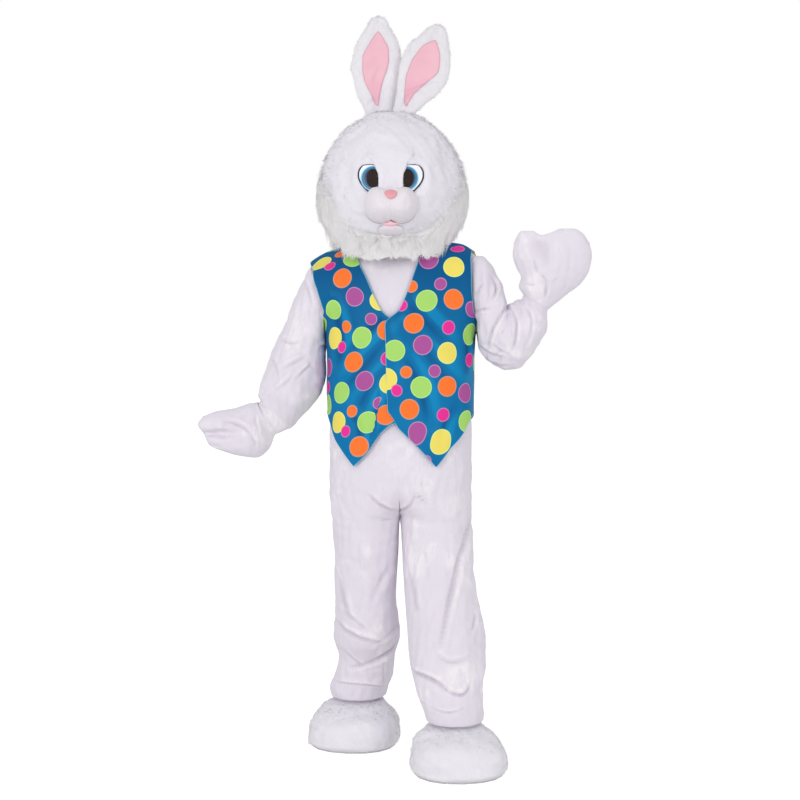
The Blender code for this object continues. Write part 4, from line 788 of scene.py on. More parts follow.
def denser(ring):
    # twice as many columns down the front, with the turn that each stands at
    count = len(ring)
    at = np.concatenate([np.arange(count // 2), np.arange(count // 2, count, 0.5)])
    fine = [np.interp(at, np.arange(count), column, period=count) for column in ring.T]
    return np.stack(fine, axis=-1), 2 * math.pi * at / count


def armhole(side):
    # the sleeve starts just inside the body's armhole
    station = np.linspace(underarmStation, shoulderStation, suitMesh["shoulderRows"])
    front, rear = (stand(bodySection(side, half, station, 1.0)) for half in (frontHalf, backHalf))
    top, bottom = (front + rear)[[-1, 0]] / 2
    edge = np.concatenate([[top], rear[-2:0:-1], [bottom], front[1:-1]])
    inward = edge.mean(axis=0) - edge
    inward[:, 0] = 0.0
    inward /= np.linalg.norm(inward, axis=1, keepdims=True)
    edge, angle = denser(edge + 3 * seamGap * (inward + np.array([side, 0.0, 0.0])))
    return edge, denser(inward)[0], angle


def sleeveGrid(side):
    seam, inward, angle = armhole(side)
    columns = len(seam)
    cap = seam + capSpread * (seam - seam.mean(axis=0)) + np.array([side * capOut, 0, 0])
    cap[:, 2] -= capTuck[side] * np.clip(np.cos(angle), 0, 1) ** 2
    sections = [seam, cap]
    for upperX, upperZ, lowerX, lowerZ, centreY, depth in zip(*sleeveRows[side].values()):
        upper = np.array([upperX, centreY, upperZ])
        lower = np.array([lowerX, centreY, lowerZ])
        sections.append((upper + lower) / 2 + np.cos(angle)[:, None] * (upper - lower) / 2
                        + np.sin(angle)[:, None] * np.array([0.0, depth, 0.0]))
    sections = np.array(sections)
    keys = np.linspace(0, 1, len(sections))
    at = np.linspace(0, 1, sleeveMesh["between"] * (len(sections) - 1) + 1)
    grid = np.stack([[smooth(keys, sections[:, j, axis], at) for j in range(columns)]
                     for axis in range(3)], axis=-1).transpose(1, 0, 2)
    away = grid - grid.mean(axis=1, keepdims=True)
    push = np.zeros(grid.shape[:2])
    for along, centre, reach, width, depth in zip(*sleeveCreases[side].values()):
        turn = (np.degrees(angle)[None, :] - centre + 180) % 360 - 180
        far = ((at[:, None] - along) / width) ** 2
        push += creaseShare * depth * np.exp(-far - (turn / reach) ** 2)
    grid += push[..., None] * away / np.linalg.norm(away, axis=2, keepdims=True)
    underLine(grid, side, 0.0, 1 - ramp(at, 0.22, 0.36)[:, None])
    out = side * gridNormals(grid, True)
    keep = ramp(at, 0.0, sleeveMesh["keepFrom"]) * (1 - ramp(at, *sleeveMesh["keepTo"]))
    step, stepAt, stepWidth = sleeveMesh["seam"]
    seamStep = step * np.exp(-((at - stepAt) / stepWidth) ** 2)
    height, crease = reliefOf(grid, out)
    height = height * keep[:, None] - seamStep[:, None]
    return grid + out * height[..., None], crease * keep[:, None]


sleeveFlat = {rightSide: (0.5, 0.62), leftSide: (0.46, 0.52)}
for side in (rightSide, leftSide):
    outer, crease = sleeveGrid(side)
    inner = outer - side * plushWall * gridNormals(outer, True)
    inner[0] = outer[0] + plushWall * armhole(side)[1]
    sleeve = shell(f"sleeve.{sideName[side]}", outer, inner, plush, wrap=True,
                   uv=foldMap(crease))
    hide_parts(f"sleeve_{sideName[side]}")
    declareSheet(sleeve, outer, sleeveFlat[side])
print("sleeves")

vestEase, vestHang = 0.0085, 0.006
vestHemRows = {
    rightSide: table("share height", [
        (0.0, 0.934), (0.07, 0.92), (0.13, 0.898), (0.19, 0.868), (0.24, 0.842), (0.3, 0.822),
        (0.36, 0.806), (0.42, 0.826), (0.5, 0.851), (0.6, 0.879), (0.7, 0.92), (0.8, 0.942),
        (1.0, 0.95)]),
    leftSide: table("share height", [
        (0.0, 0.96), (0.02, 0.942), (0.05, 0.912), (0.1, 0.889), (0.2, 0.848), (0.3, 0.805),
        (0.45, 0.857), (0.63, 0.895), (0.75, 0.923), (0.86, 0.94), (1.0, 0.95)]),
}
vestPointShare = {rightSide: 0.36, leftSide: 0.3}   # where each front comes to its point
vestNeck = 1.214                             # where the fronts part
vestBackHem = 0.885
vestBackNeckDip = 1.3                     # stations that the back's neckline dips
vestBackNeckShare = 0.05                   # and the share of the shoulder it leaves open
vestOverlap = 0.014                          # each front runs this far past the middle
vestLap = {"more": 0.55, "from": 9.5, "to": 13.5}    # and further at the hem, by station
vestNeckSide = 0.16                          # share of the back that its neckline takes up


def stationAt(side, height):
    stations = np.linspace(crotchStation, shoulderStation, 400)
    return np.interp(height, bodyRow(side, stations)["innerZ"], stations)


def vestHem(side, share):
    return np.interp(share, *vestHemRows[side].values())

necklineRows = {
    rightSide: table("station share", [
        (13.0, 0.0), (13.35, 0.0), (14.0, 0.08), (14.5, 0.155), (15.0, 0.222),
        (16.0, 0.318), (16.5, 0.195), (17.0, 0.05)]),
    leftSide: table("station share", [
        (13.0, 0.0), (13.35, 0.0), (14.0, 0.08), (14.5, 0.148), (15.0, 0.205),
        (16.0, 0.264), (16.5, 0.165), (17.0, 0.05)]),
}
vestArmRows = {
    rightSide: table("station share", [(13.0, 0.93), (16.0, 0.93), (17.0, 0.97)]),
    leftSide: table("station share", [(13.0, 0.94), (15.2, 0.95), (16.2, 0.9), (17.0, 0.77)]),
}
# how far each front's armhole edge stands out over the sleeve, by station
vestWing = {
    rightSide: table("station out", [
        (12.8, 0.0), (13.4, 0.003), (13.8, 0.01), (14.2, 0.021), (14.75, 0.034), (15.4, 0.041),
        (16.2, 0.031), (17.0, 0.017)]),
    leftSide: table("station out", [
        (12.8, 0.0), (13.5, 0.01), (14.4, 0.016), (15.4, 0.014), (17.0, 0.0)]),
}

vestCreases = [
    # drag from the closure down to the sides, then the fold in the wearer's left front
    (-25, -180, -85, -225, -150, -300, 14, 3.2, 2.2),
    (-30, -330, -80, -380, -120, -460, 14, 3, 2),
    (-40, -250, -100, -330, -165, -400, 16, 2.4, 1.8),
    (15, -150, 70, -200, 140, -280, 15, 3, 2),
    (10, -300, 55, -380, 75, -480, 14, 2.8, 2),
    (184, -235, 190, -290, 184, -345, 8, 3, 3),
    (30, -230, 100, -320, 160, -400, 18, 2.2, 1.8),
    (-190, -150, -170, -240, -172, -330, 12, 3, 2),
    (-55, -385, -66, -455, -78, -520, 6, 3.4, 1.6),
    (-140, -450, -115, -500, -110, -560, 10, 2.6, 1.8),
    (150, -440, 120, -500, 118, -560, 10, 2.6, 1.8),
]
vestBackCreases = [
    (-150, -120, -60, -180, 40, -190, 16, 3, 2.2),
    (150, -200, 80, -250, -20, -260, 16, 2.8, 2),
    (-170, -330, -90, -360, 10, -350, 14, 3.6, 2.6),
    (160, -380, 90, -410, 0, -405, 14, 3.4, 2.4),
    (-90, -440, -80, -490, -85, -520, 12, 2.6, 1.8),
    (90, -430, 85, -480, 95, -520, 12, 2.6, 1.8),
]
vestRelief = {"rows": 110, "columns": 66, "swell": 0.0016, "swellSize": 0.15,
              "crush": 0.0005, "crushSize": 0.06, "hem": 0.0045, "hemRise": 0.0009}


def vestReach(side, station):
    arm = np.interp(station, *vestArmRows[side].values())
    return 1 - (1 - arm) * ramp(station, 12.1, 13.1)


def winged(grid, side, station, shares, forward=0.0):
    # the armhole's edge stands out over the sleeve and droops at the shoulder
    wing = smooth(vestWing[side]["station"], vestWing[side]["out"], station)
    wing = wing * ramp(shares, 0.45, 1.0)[None, :]
    grid[..., 0] += side * wing
    grid[..., 1] -= forward * wing
    grid[..., 2] -= 0.6 * wing * ramp(station, 15.5, 17.0)


def vestFrontGrid(side, rows, shares):
    t = rows[:, None]
    hem = stationAt(side, vestHem(side, shares))[None, :]
    level = hem.max()
    station = level + (shoulderStation - 0.02 - level) * t + (hem - level) * (1 - t) ** 4
    inner = smooth(necklineRows[side]["station"], necklineRows[side]["share"], station)
    across = inner + (vestReach(side, station) - inner) * shares[None, :]
    hang = (1 - ramp(station, 9, 13)) * np.sin(math.pi * shares)[None, :] ** 2
    loose = vestEase + vestHang * hang
    grid = bodySection(side, frontHalf, station, across, outside=loose)
    neck = stationAt(side, vestNeck)
    edge = (1 - shares[None, :]) ** 4 * (1 - ramp(station, neck - 0.3, neck + 0.4))
    more = vestLap["more"] * (1 - ramp(station, vestLap["from"], vestLap["to"]))
    lap = vestOverlap * (1 + more) * edge
    grid[..., 0] -= side * lap
    over = satinWall + 2 * layGap if side == leftSide else 0.0
    grid[..., 1] -= (over + 0.003) * np.clip(edge * 3, 0, 1)
    winged(grid, side, station, shares, 0.22)
    # cloth runs on past the neckline, so its place is measured from the middle of the body
    lost = stand(bodySection(side, frontHalf, station[:, :1],
                             inner[:, :1] * np.linspace(0, 1, 16)[None, :], outside=vestEase))
    start = lengthAlong(lost[..., :2], 1)[:, -1]
    start += bodyRow(side, station[:, 0])["neckX"]
    start += vestOverlap * (1 - ramp(station[:, 0], 12.0, 15.5)) - lap[:, 0]
    return stand(grid), start


def vestBackGrid(rows, shares):
    parts = []
    drawnIn = np.interp(shares, [0, vestNeckSide, 1], [0, vestBackNeckShare, 1])
    dip = vestBackNeckDip * np.clip(1 - shares / vestNeckSide, 0, 1)
    for side in (rightSide, leftSide):
        sideHem = vestHemRows[side]["height"][-1]
        hem = stationAt(side, vestBackHem + (sideHem - vestBackHem) * shares ** 2)[None, :]
        station = hem + (shoulderStation - 0.02 - dip[None, :] - hem) * rows[:, None]
        drawn = shares + (drawnIn - shares) * ramp(rows, 0.6, 1.0)[:, None]
        across = vestReach(side, station) * drawn
        part = bodySection(side, backHalf, station, across,
                           outside=vestEase + 0.004 * dip * rows[:, None] ** 2)
        winged(part, side, station, shares)
        parts.append(stand(part))
    ours, theirs = parts
    middle = (ours[:, :1] + theirs[:, :1]) / 2
    return np.concatenate([ours[:, :0:-1], middle, theirs[:, 1:]], axis=1)


def edgeDistance(grid):
    # metres to the nearest edge of a grid
    found = []
    for axis in (0, 1):
        run = lengthAlong(grid, axis)
        found += [run, np.take(run, [-1], axis) - run]
    return np.min(found, axis=0)


def dressVest(grid, outward, rows):
    v = vestRelief
    out = outward * gridNormals(grid, False)
    height = rumple(grid, v["swellSize"], v["swell"], 8)
    height += rumple(grid, v["crushSize"], v["crush"], 9)
    edge = edgeDistance(grid)
    crease = creaseHeight(grid, rows) * ramp(edge, 0.002, 0.03)
    height *= ramp(edge, 0.002, 0.035)
    height += crease + v["hemRise"] * (1 - ramp(edge, 0.5 * v["hem"], v["hem"]))
    # the edge distance and crease height go on to steer the satin's painted shade and highlights
    return grid + out * height[..., None], np.stack([edge, crease], axis=-1)


# the right front's tuck: a line by height, where it fades out, and how wide its fold is
tuckFold = {"height": (-0.516, -0.402), "x": (-0.0769, -0.057), "fade": (-0.4, -0.44),
            "width": 0.003}


def printPlace(grid, start, side, lie):
    # where the printed cloth lies: metres right and down on it from one green dot
    up = grid[:1, :, 2] + lengthAlong(grid[..., 1:])
    right = side * (start[:, None] + lengthAlong(grid[..., :2], 1))
    x, z = lie["anchor"]
    near = np.hypot(grid[..., 0] - x, grid[..., 2] - floorToNeck - z).argmin()
    here = grid.reshape(-1, 3)[near]
    dx = right - right.flat[near] + here[0] - x
    dy = up.flat[near] - up + floorToNeck + z - here[2]
    # a tuck takes up some of the cloth to the closure's side of its fold
    if lie["tuck"]:
        height = grid[..., 2] - floorToNeck
        fold = np.interp(height, tuckFold["height"], tuckFold["x"])
        low = ramp(height, *tuckFold["fade"])
        dx = dx + lie["tuck"] * low * ramp(grid[..., 0] - fold, 0.0, tuckFold["width"])
    return np.stack([dx + lie["lean"] * dy + lie["swing"] * np.maximum(dy, 0.0) ** 2,
                     dy / lie["stretch"] - lie["sag"] * ramp(dy, 0.12, 0.17)
                     + lie["drag"] * ramp(dy, -0.28, 0.02) * dx], axis=-1)


# one repeat of the printed dots, in metres right and down from a green one: radius, colour
dotRepeat = (0.372, 0.2363)
dots = [
    (0.0, 0.0, 0.0298, "green"), (-0.098, -0.017, 0.03, "yellow"),
    (-0.069, 0.013, 0.0168, "magenta"), (-0.044, -0.039, 0.0172, "orange"),
    (0.036, -0.046, 0.0177, "purple"), (0.075, -0.006, 0.0282, "orange"),
    (-0.03, 0.062, 0.0284, "orange"), (0.068, 0.072, 0.0192, "magenta"),
    (-0.001, 0.121, 0.0273, "purple"), (0.07, -0.096, 0.0293, "yellow"),
    (-0.079, -0.097, 0.0298, "green"), (0.138, 0.01, 0.0274, "purple"),
    (0.147, 0.088, 0.0298, "green"), (0.157, -0.079, 0.019, "magenta"),
    (-0.14, 0.058, 0.0262, "purple"), (-0.15, 0.112, 0.0172, "magenta"),
    (-0.158, 0.16, 0.029, "green"),
]
dotColours = {
    "yellow": (0.82, 0.69, 0.13), "green": (0.37, 0.66, 0.15),
    "orange": (0.95, 0.18, 0.03), "magenta": (0.78, 0.03, 0.3),
    "purple": (0.4, 0.085, 0.31),
}
ringColours = {
    "yellow": (0.7, 0.88, 0.26), "green": (0.5, 0.82, 0.22),
    "orange": (0.56, 0.33, 0.25), "magenta": (0.64, 0.2, 0.42),
    "purple": (0.54, 0.26, 0.44),
}
# low and high are the satin's blue; deep is painted shade for the top of the chest and the fold
# troughs, light a painted highlight on the fold lips, and hem a painted highlight along the edges
satinFinish = {"low": (0.0, 0.115, 0.31), "high": (0.001, 0.205, 0.445),
               "deep": (0.0, 0.07, 0.215), "light": (0.002, 0.27, 0.54),
               "hem": (0.2, 0.56, 0.74), "roughness": 0.55, "ring": 0.0024,
               "blur": 0.0004, "chestShade": (-0.34, -0.02)}


def satinLook(name):
    f = satinFinish
    look = Look(name)
    place = look.place()
    cloth = look.uv("print")
    shine = look.noise(place, 9.0, 2.0)
    colour = look.mix(shine, f["low"], f["high"])
    # painted shade: the blue darkens towards the top of the chest
    chestShade = look.reach(look.part(place, "Z"), *f["chestShade"], "SMOOTHSTEP")
    colour = look.mix(chestShade * 0.75, colour, f["deep"])
    # the edge layer holds the distance to the edge and the crease height, which steer painted shade
    # and highlights
    worn = look.uv("edge")
    fold = look.part(worn, "Y")
    # painted shade in the folds' troughs and a painted highlight on their lips
    for start, end, share, paint in ((-0.0004, -0.0024, 0.8, "deep"),
                                     (0.0003, 0.0016, 0.6, "light")):
        colour = look.mix(look.reach(fold, start, end) * share, colour, f[paint])
    width, height = dotRepeat
    for x, y, radius, paint in dots:
        away = look.node("ShaderNodeVectorMath", {"operation": "SUBTRACT"}, {
            0: cloth, 1: (x, y, 0.0)})
        away = look.node("ShaderNodeVectorMath", {"operation": "WRAP"}, {
            0: away, 1: (width / 2, height / 2, 1.0), 2: (-width / 2, -height / 2, -1.0)})
        away = look.node("ShaderNodeVectorMath", {"operation": "LENGTH"}, {0: away}, "Value")
        for edge, paints in ((radius, ringColours), (radius - f["ring"], dotColours)):
            inside = look.reach(away, edge + f["blur"], edge - f["blur"])
            colour = look.mix(inside, colour, paints[paint])
    # a painted highlight in light cyan along the turned edges
    hem = look.reach(look.part(worn, "X"), 0.0024, 0.0012)
    colour = look.mix(hem * 0.7, colour, f["hem"])
    weave = look.noise(look.stretched(place, (1.0, 1.0, 0.1)), 900.0, 1.0)
    return look.finish(Base_Color=colour, Roughness=f["roughness"], Specular_IOR_Level=0.12,
                       Normal=bumped(look, weave, 0.06, 0.0005))


satin = satinLook("dottedSatin")
rows = np.linspace(0, 1, vestRelief["rows"])
# how the print lies on each front: where one green dot is, and how the cloth is drawn there
printLie = {
    leftSide: {"anchor": (0.0585, -0.3825), "lean": 0.061, "drag": -0.061, "swing": 0.5,
               "stretch": 1.014, "tuck": 0.0, "sag": 0.012},
    rightSide: {"anchor": (-0.1079, -0.2465), "lean": -0.035, "drag": 0.21, "swing": 0.0,
                "stretch": 1.0, "tuck": 0.024, "sag": 0.0},
}
vestFlat = (0.26, 0.62)
for side in (rightSide, leftSide):
    point = vestPointShare[side]
    shares = np.concatenate([np.linspace(0, point, 26),
                             np.linspace(point, 1, vestRelief["columns"] - 25)[1:]])
    plain, start = vestFrontGrid(side, rows, shares)
    # worn holds the edge distance and crease height for the satin's painted shade and highlights
    outer, worn = dressVest(plain, -side, vestCreases)
    onPrint = printPlace(plain, start, side, printLie[side])
    inner = outer + side * satinWall * gridNormals(outer, False)
    front = shell(f"waistcoat.front.{sideName[side]}", outer, inner, satin,
                  uv={"print": onPrint, "edge": worn})
    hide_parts(f"vest_front_{sideName[side]}")
    declareSheet(front, outer, vestFlat)
backShares = np.concatenate([np.linspace(0, vestNeckSide, 8),
                             np.linspace(vestNeckSide, 1, 30)[1:]])
plain = vestBackGrid(rows, backShares)
# worn holds the edge distance and crease height for the satin's painted shade and highlights
outer, worn = dressVest(plain, 1, vestBackCreases)
halfWay = plain.shape[1] // 2
acrossBack = lengthAlong(plain, 1)
onPrint = np.stack([acrossBack - acrossBack[:, halfWay:halfWay + 1],
                    -lengthAlong(plain[..., 1:])], axis=-1)
inner = outer - satinWall * gridNormals(outer, False)
vestBack = shell("waistcoat.back", outer, inner, satin,
                 uv={"print": onPrint, "edge": worn})
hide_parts("vest_back")
declareSheet(vestBack, outer, (0.5, 0.62))
print("waistcoat")

mittShapes = {
    rightSide: {
        "cuff": [(-0.3985, 0.988), (-0.348, 0.886)],
        "firstSide": [(-0.418, 0.983), (-0.4593, 0.97), (-0.5059, 0.9633), (-0.54, 0.95)],
        "secondSide": [(-0.364, 0.852), (-0.396, 0.83), (-0.4471, 0.8389),
                        (-0.4954, 0.8557)],
        "tips": [(-0.554, 0.929), (-0.5382, 0.9015), (-0.5227, 0.87)],
        "depthY": (-0.098, -0.175),
        "puff": 0.06,
    },
    leftSide: {
        "cuff": [(0.337, 1.285), (0.4166, 1.2423)],
        "firstSide": [(0.327, 1.306), (0.333, 1.33), (0.3193, 1.3577), (0.3089, 1.396),
                       (0.3125, 1.4279)],
        "secondSide": [(0.4594, 1.2807), (0.5016, 1.3155), (0.5222, 1.3539), (0.5274, 1.3895),
                        (0.5181, 1.4251)],
        "tips": [(0.3333, 1.458), (0.36, 1.4585), (0.387, 1.447), (0.414, 1.4545),
                 (0.4386, 1.4643), (0.4734, 1.4643), (0.4978, 1.4525)],
        "depthY": (-0.13, -0.19),
        "puff": 0.044,
    },
}
mittValleys = {
    rightSide: table("across reach width depth", [
        (0.46, 0.8, 0.07, 0.62), (0.74, 0.25, 0.05, 0.3)]),
    leftSide: table("across reach width depth", [
        (0.33, 0.62, 0.085, 0.4), (0.64, 0.6, 0.1, 0.22)]),
}
mittCuffDepth = {rightSide: 0.049, leftSide: 0.042}
mittMesh = {"rows": 46, "columns": 66, "rimPull": 0.085}


def patchBetween(start, end, firstSide, secondSide, rows, columns):
    v = np.linspace(0, 1, rows)
    u = np.linspace(0, 1, columns)
    low, high = through(start, u)[None], through(end, u)[None]
    left, right = through(firstSide, v)[:, None], through(secondSide, v)[:, None]
    u, v = u[None, :, None], v[:, None, None]
    corners = ((1 - u) * (1 - v) * low[:, :1] + u * (1 - v) * low[:, -1:]
               + (1 - u) * v * high[:, :1] + u * v * high[:, -1:])
    return (1 - v) * low + v * high + (1 - u) * left + u * right - corners


def mittFaces(side, half):
    m, shape, valleys = mittMesh, mittShapes[side], mittValleys[side]
    cuff, tips = shape["cuff"], shape["tips"]
    firstSide = [cuff[0], *shape["firstSide"]]
    secondSide = [cuff[1], *shape["secondSide"]]
    top = [firstSide[-1], *tips, secondSide[-1]]
    flat = patchBetween(cuff, top, firstSide, secondSide, m["rows"], m["columns"])
    u = np.linspace(0, 1, m["columns"])[None, :]
    v = np.linspace(0, 1, m["rows"])[:, None]

    def middleAt(x, height):
        start, end = np.mean(cuff, axis=0), np.mean(top, axis=0)
        near, far = shape["depthY"]
        along = (np.stack([x, height], -1) - start) @ (end - start) / ((end - start) ** 2).sum()
        return near + (far - near) * along

    middle = middleAt(flat[..., 0], flat[..., 1])
    dome = np.sqrt(1 - (2 * u - 1) ** 2) * np.sqrt(1 - v ** 3)
    high = mittCuffDepth[side] + (shape["puff"] - mittCuffDepth[side]) * ramp(v, 0, 0.5)
    rise = high * dome
    for across, reach, width, depth in zip(*valleys.values()):
        rise *= 1 - depth * np.exp(-((u - across) / width) ** 2) * ramp(v, 1 - reach, 1.0)
    outer = np.stack([flat[..., 0], middle + half * (rise + seamGap / 2), flat[..., 1]], -1)
    out = faceOut(outer, half)
    keep = ramp(v, 0.05, 0.16) * (1 - ramp(v, 0.86, 1.0)) * np.sin(math.pi * u) ** 0.6
    height, crease = reliefOf(outer, out)
    outer += out * (height * keep)[..., None]
    outer -= out * (seamPull(outer) * ramp(v, 0.0, 0.1) * (1 - ramp(v, 0.9, 1.0)))[..., None]
    outer[..., 1] = middle + half * np.maximum(half * (outer[..., 1] - middle), seamGap / 2)
    # elastic draws the rim in on the sleeve
    rim = np.array([*np.mean(cuff, axis=0), shape["depthY"][0]])[[0, 2, 1]]
    drawn = (m["rimPull"] * np.exp(-(v / 0.09) ** 2))[..., None]
    toRim, way = rim - outer, faceAlong(shape)
    outer += drawn * (toRim - (toRim @ way)[..., None] * way)
    inner = outer - plushWall * faceOut(outer, half)
    middle = middleAt(inner[..., 0], inner[..., 2])
    inner[..., 1] = middle + half * np.maximum(half * (inner[..., 1] - middle), seamGap / 2)
    return outer, inner, crease * keep


def faceAlong(shape):
    # the way from a mitt's cuff to its tips
    way = np.mean(shape["tips"], axis=0) - np.mean(shape["cuff"], axis=0)
    return unit(np.array([way[0], 0.0, way[1]]))


def faceOut(grid, half):
    found = gridNormals(grid, wrap=False)
    return found * np.sign(found[..., 1].mean() * half)


mittPalm = {rightSide: backHalf, leftSide: frontHalf}
mittFlat = {rightSide: (0.23, 0.24), leftSide: (0.24, 0.26)}
for side in (rightSide, leftSide):
    for half in (frontHalf, backHalf):
        partName = "palm" if half == mittPalm[side] else "back"
        outer, inner, crease = mittFaces(side, half)
        mitt = shell(f"mitt.{partName}.{sideName[side]}", outer, inner, plush,
                     uv=foldMap(crease))
        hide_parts(f"mitt_{sideName[side]}_{partName}")
        declareSheet(mitt, outer, mittFlat[side])
print("mitts")

coverRows = table("height halfLength halfWidth heelward", [
    (0.0053, 0.139, 0.121, 0.0),
    (0.018, 0.147, 0.129, 0.0),
    (0.045, 0.146, 0.128, 0.002),
    (0.072, 0.134, 0.116, 0.006),
    (0.093, 0.111, 0.097, 0.022),
    (0.106, 0.08, 0.074, 0.044),
    (0.113, 0.0555, 0.0555, 0.055),
    (0.15, 0.0535, 0.0535, 0.055),
])
coverPlace = {rightSide: {"heel": (-0.1085, 0.191), "toe": (-0.15, -0.103)},
               leftSide: {"heel": (0.142, -0.092), "toe": (0.168, -0.386)}}
coverMesh = {"rows": 46, "columns": 84, "swell": 0.0035, "swellSize": 0.11,
             "crush": 0.0014, "crushSize": 0.032}


def coverRings(side):
    heel, toe = (np.array(coverPlace[side][end]) for end in ("heel", "toe"))
    forward = (toe - heel) / np.linalg.norm(toe - heel)
    across = np.array([-forward[1], forward[0]])
    columns, keys = coverMesh["columns"], np.arange(len(coverRows["height"]))
    at = np.linspace(0, keys[-1], coverMesh["rows"])
    angle = np.linspace(0, 2 * math.pi, columns, endpoint=False)
    rings = []
    for height, halfLength, halfWidth, heelward in zip(
            *(smooth(keys, column, at) for column in coverRows.values())):
        broad = 1 + 0.1 * np.cos(angle) * min(halfLength / 0.14, 1) ** 4
        middle = (heel + toe) / 2 - heelward * forward
        ring = (middle + halfLength * power(np.cos(angle), 0.9)[:, None] * forward
                + (halfWidth * broad * power(np.sin(angle), 0.9))[:, None] * across)
        rings.append(np.column_stack([ring, np.full(columns, height)]))
    rings = np.array(rings)
    out = gridNormals(rings, True)
    out *= np.sign((out * (rings - rings.mean(axis=(0, 1)))).sum())
    keep = (ramp(at, 0.2, 1.2) * (1 - ramp(at, 4.2, 5.2)))[:, None]
    c = coverMesh
    swell = (rumple(rings, c["swellSize"], c["swell"], 21 + side)
             + rumple(rings, c["crushSize"], c["crush"], 31 + side))
    rings = rings + out * (swell * keep)[..., None]
    return rings, out


coverPlush = plushLook("coverPlush", {"shade": (0.775, 0.755, 0.815), "body": (0.815, 0.795, 0.855),
                                      "crushScale": 48.0}, 0.5)
coverFlat = (0.5, 0.4)
coverOuter = {}
for side in (rightSide, leftSide):
    rings, out = coverRings(side)
    inner = rings - plushWall * out
    inner[0] = rings[0] + 0.96 * (inner[0] - rings[0])
    inner[0][:, 2] = rings[0][:, 2]
    cover = shell(f"shoeCover.{sideName[side]}", rings, inner, coverPlush, wrap=True)
    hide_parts(f"cover_{sideName[side]}_upper")
    declareSheet(cover, rings, coverFlat)
    coverOuter[side] = (rings, out)
print("shoe covers")

headRows = table("share height halfWidth front back", [
    (0.0, 1.8015, 0.0, 0.0, 0.0),
    (0.06, 1.796, 0.05, 0.045, 0.05),
    (0.15, 1.776, 0.096, 0.09, 0.095),
    (0.28, 1.73, 0.15, 0.142, 0.145),
    (0.42, 1.665, 0.188, 0.18, 0.182),
    (0.56, 1.59, 0.201, 0.198, 0.197),
    (0.7, 1.52, 0.193, 0.192, 0.19),
    (0.84, 1.468, 0.165, 0.163, 0.162),
    (1.0, 1.441, 0.125, 0.122, 0.128),
])
headMiddle = (-0.0213, -0.015)   # of the head, across and fore and aft
headCentreHeight = 1.6


def headAt(key, share):
    return smooth(headRows["share"], headRows[key], share)


def headPoint(azimuth, share, outside=0.0):
    azimuth, share = np.broadcast_arrays(np.radians(azimuth), np.asarray(share, float))
    fore = np.cos(azimuth)
    depth = np.where(fore > 0, headAt("front", share), headAt("back", share))
    x = headMiddle[0] + (headAt("halfWidth", share) + outside) * np.sin(azimuth)
    y = headMiddle[1] - (depth + outside) * fore
    return np.stack([x, y, headAt("height", share)], axis=-1)


def headFront(x, height):
    share = np.interp(-np.asarray(height), -headHeights, headShares)
    aside = np.clip((np.asarray(x) - headMiddle[0]) / headAt("halfWidth", share), -1, 1)
    return headMiddle[1] - headAt("front", share) * np.sqrt(1 - aside ** 2)


headShares = np.linspace(0, 1, 200)
headHeights = headAt("height", headShares)
faceX = -0.025          # the face's middle line
pupilOut, pupilHeight = {rightSide: 0.0487, leftSide: 0.044}, 1.601
pupilSize = (0.0178, 0.025)
irisSize, irisHole = {rightSide: (0.034, 0.0345), leftSide: (0.0318, 0.0335)}, (0.013, 0.019)
muzzleHeight = 1.5285
padRiseMost, muzzleEdge, padRound = 0.056, 0.003, 0.046

headMesh = {"rows": {frontHalf: 132, backHalf: 72}, "columns": {frontHalf: 150, backHalf: 64},
            "swell": 0.0032, "swellSize": 0.13, "crush": 0.0013, "crushSize": 0.045}
# soft forms on the face: (out from the middle, height, reach across, reach up, how far out)
faceForms = [
    (0.0, 1.665, 0.042, 0.03, 0.003),
    (0.031, 1.652, 0.019, 0.016, -0.0045),   # the frown's hollows
    (0.058, 1.657, 0.026, 0.01, 0.006),    # tufted brows
    (0.098, 1.615, 0.012, 0.036, 0.0045),    # round the outer corners
    (0.075, 1.56, 0.033, 0.014, 0.0045),    # cheeks under the eyes
    (0.11, 1.54, 0.045, 0.035, 0.005),
    (0.085, 1.7, 0.05, 0.032, 0.003),
]
eyeSink, bridgeRise = -0.001, 0.0095
bridgeEdge = table("height half", [
    (1.56, 0.0335), (1.6, 0.033), (1.613, 0.0345), (1.626, 0.0405), (1.64, 0.045),
    (1.665, 0.06)])


def eyeShape(side, count=48):
    # the eye's outline; its inner part runs in under the bridge
    places = [(0.076, 1.6385), (0.085, 1.631), (0.0902, 1.619), (0.0908, 1.608),
              (0.088, 1.596), (0.0815, 1.584), (0.072, 1.573), (0.061, 1.563),
              (0.045, 1.556), (0.027, 1.562), (0.019, 1.59), (0.022, 1.622),
              (0.033, 1.637), (0.0445, 1.6388), (0.06, 1.64), (0.076, 1.6385)]
    ring = through(places, np.linspace(0, 1, count, endpoint=False))
    return np.column_stack([faceX + side * ring[:, 0], ring[:, 1]])


def insideEye(x, height):
    # 1 within an eye's outline and 0 a little outside it
    out = np.abs(np.asarray(x) - faceX)
    ring = eyeShape(leftSide)
    centre = ring.mean(axis=0)
    turn = np.arctan2(ring[:, 1] - centre[1], ring[:, 0] - centre[0])
    reach = np.hypot(*(ring - centre).T)
    order = np.argsort(turn)
    dx, dz = out + faceX - centre[0], np.asarray(height) - centre[1]
    there = np.interp(np.arctan2(dz, dx), turn[order], reach[order], period=2 * math.pi)
    return 1 - ramp(np.hypot(dx, dz) - there, 0.0, 0.0055)


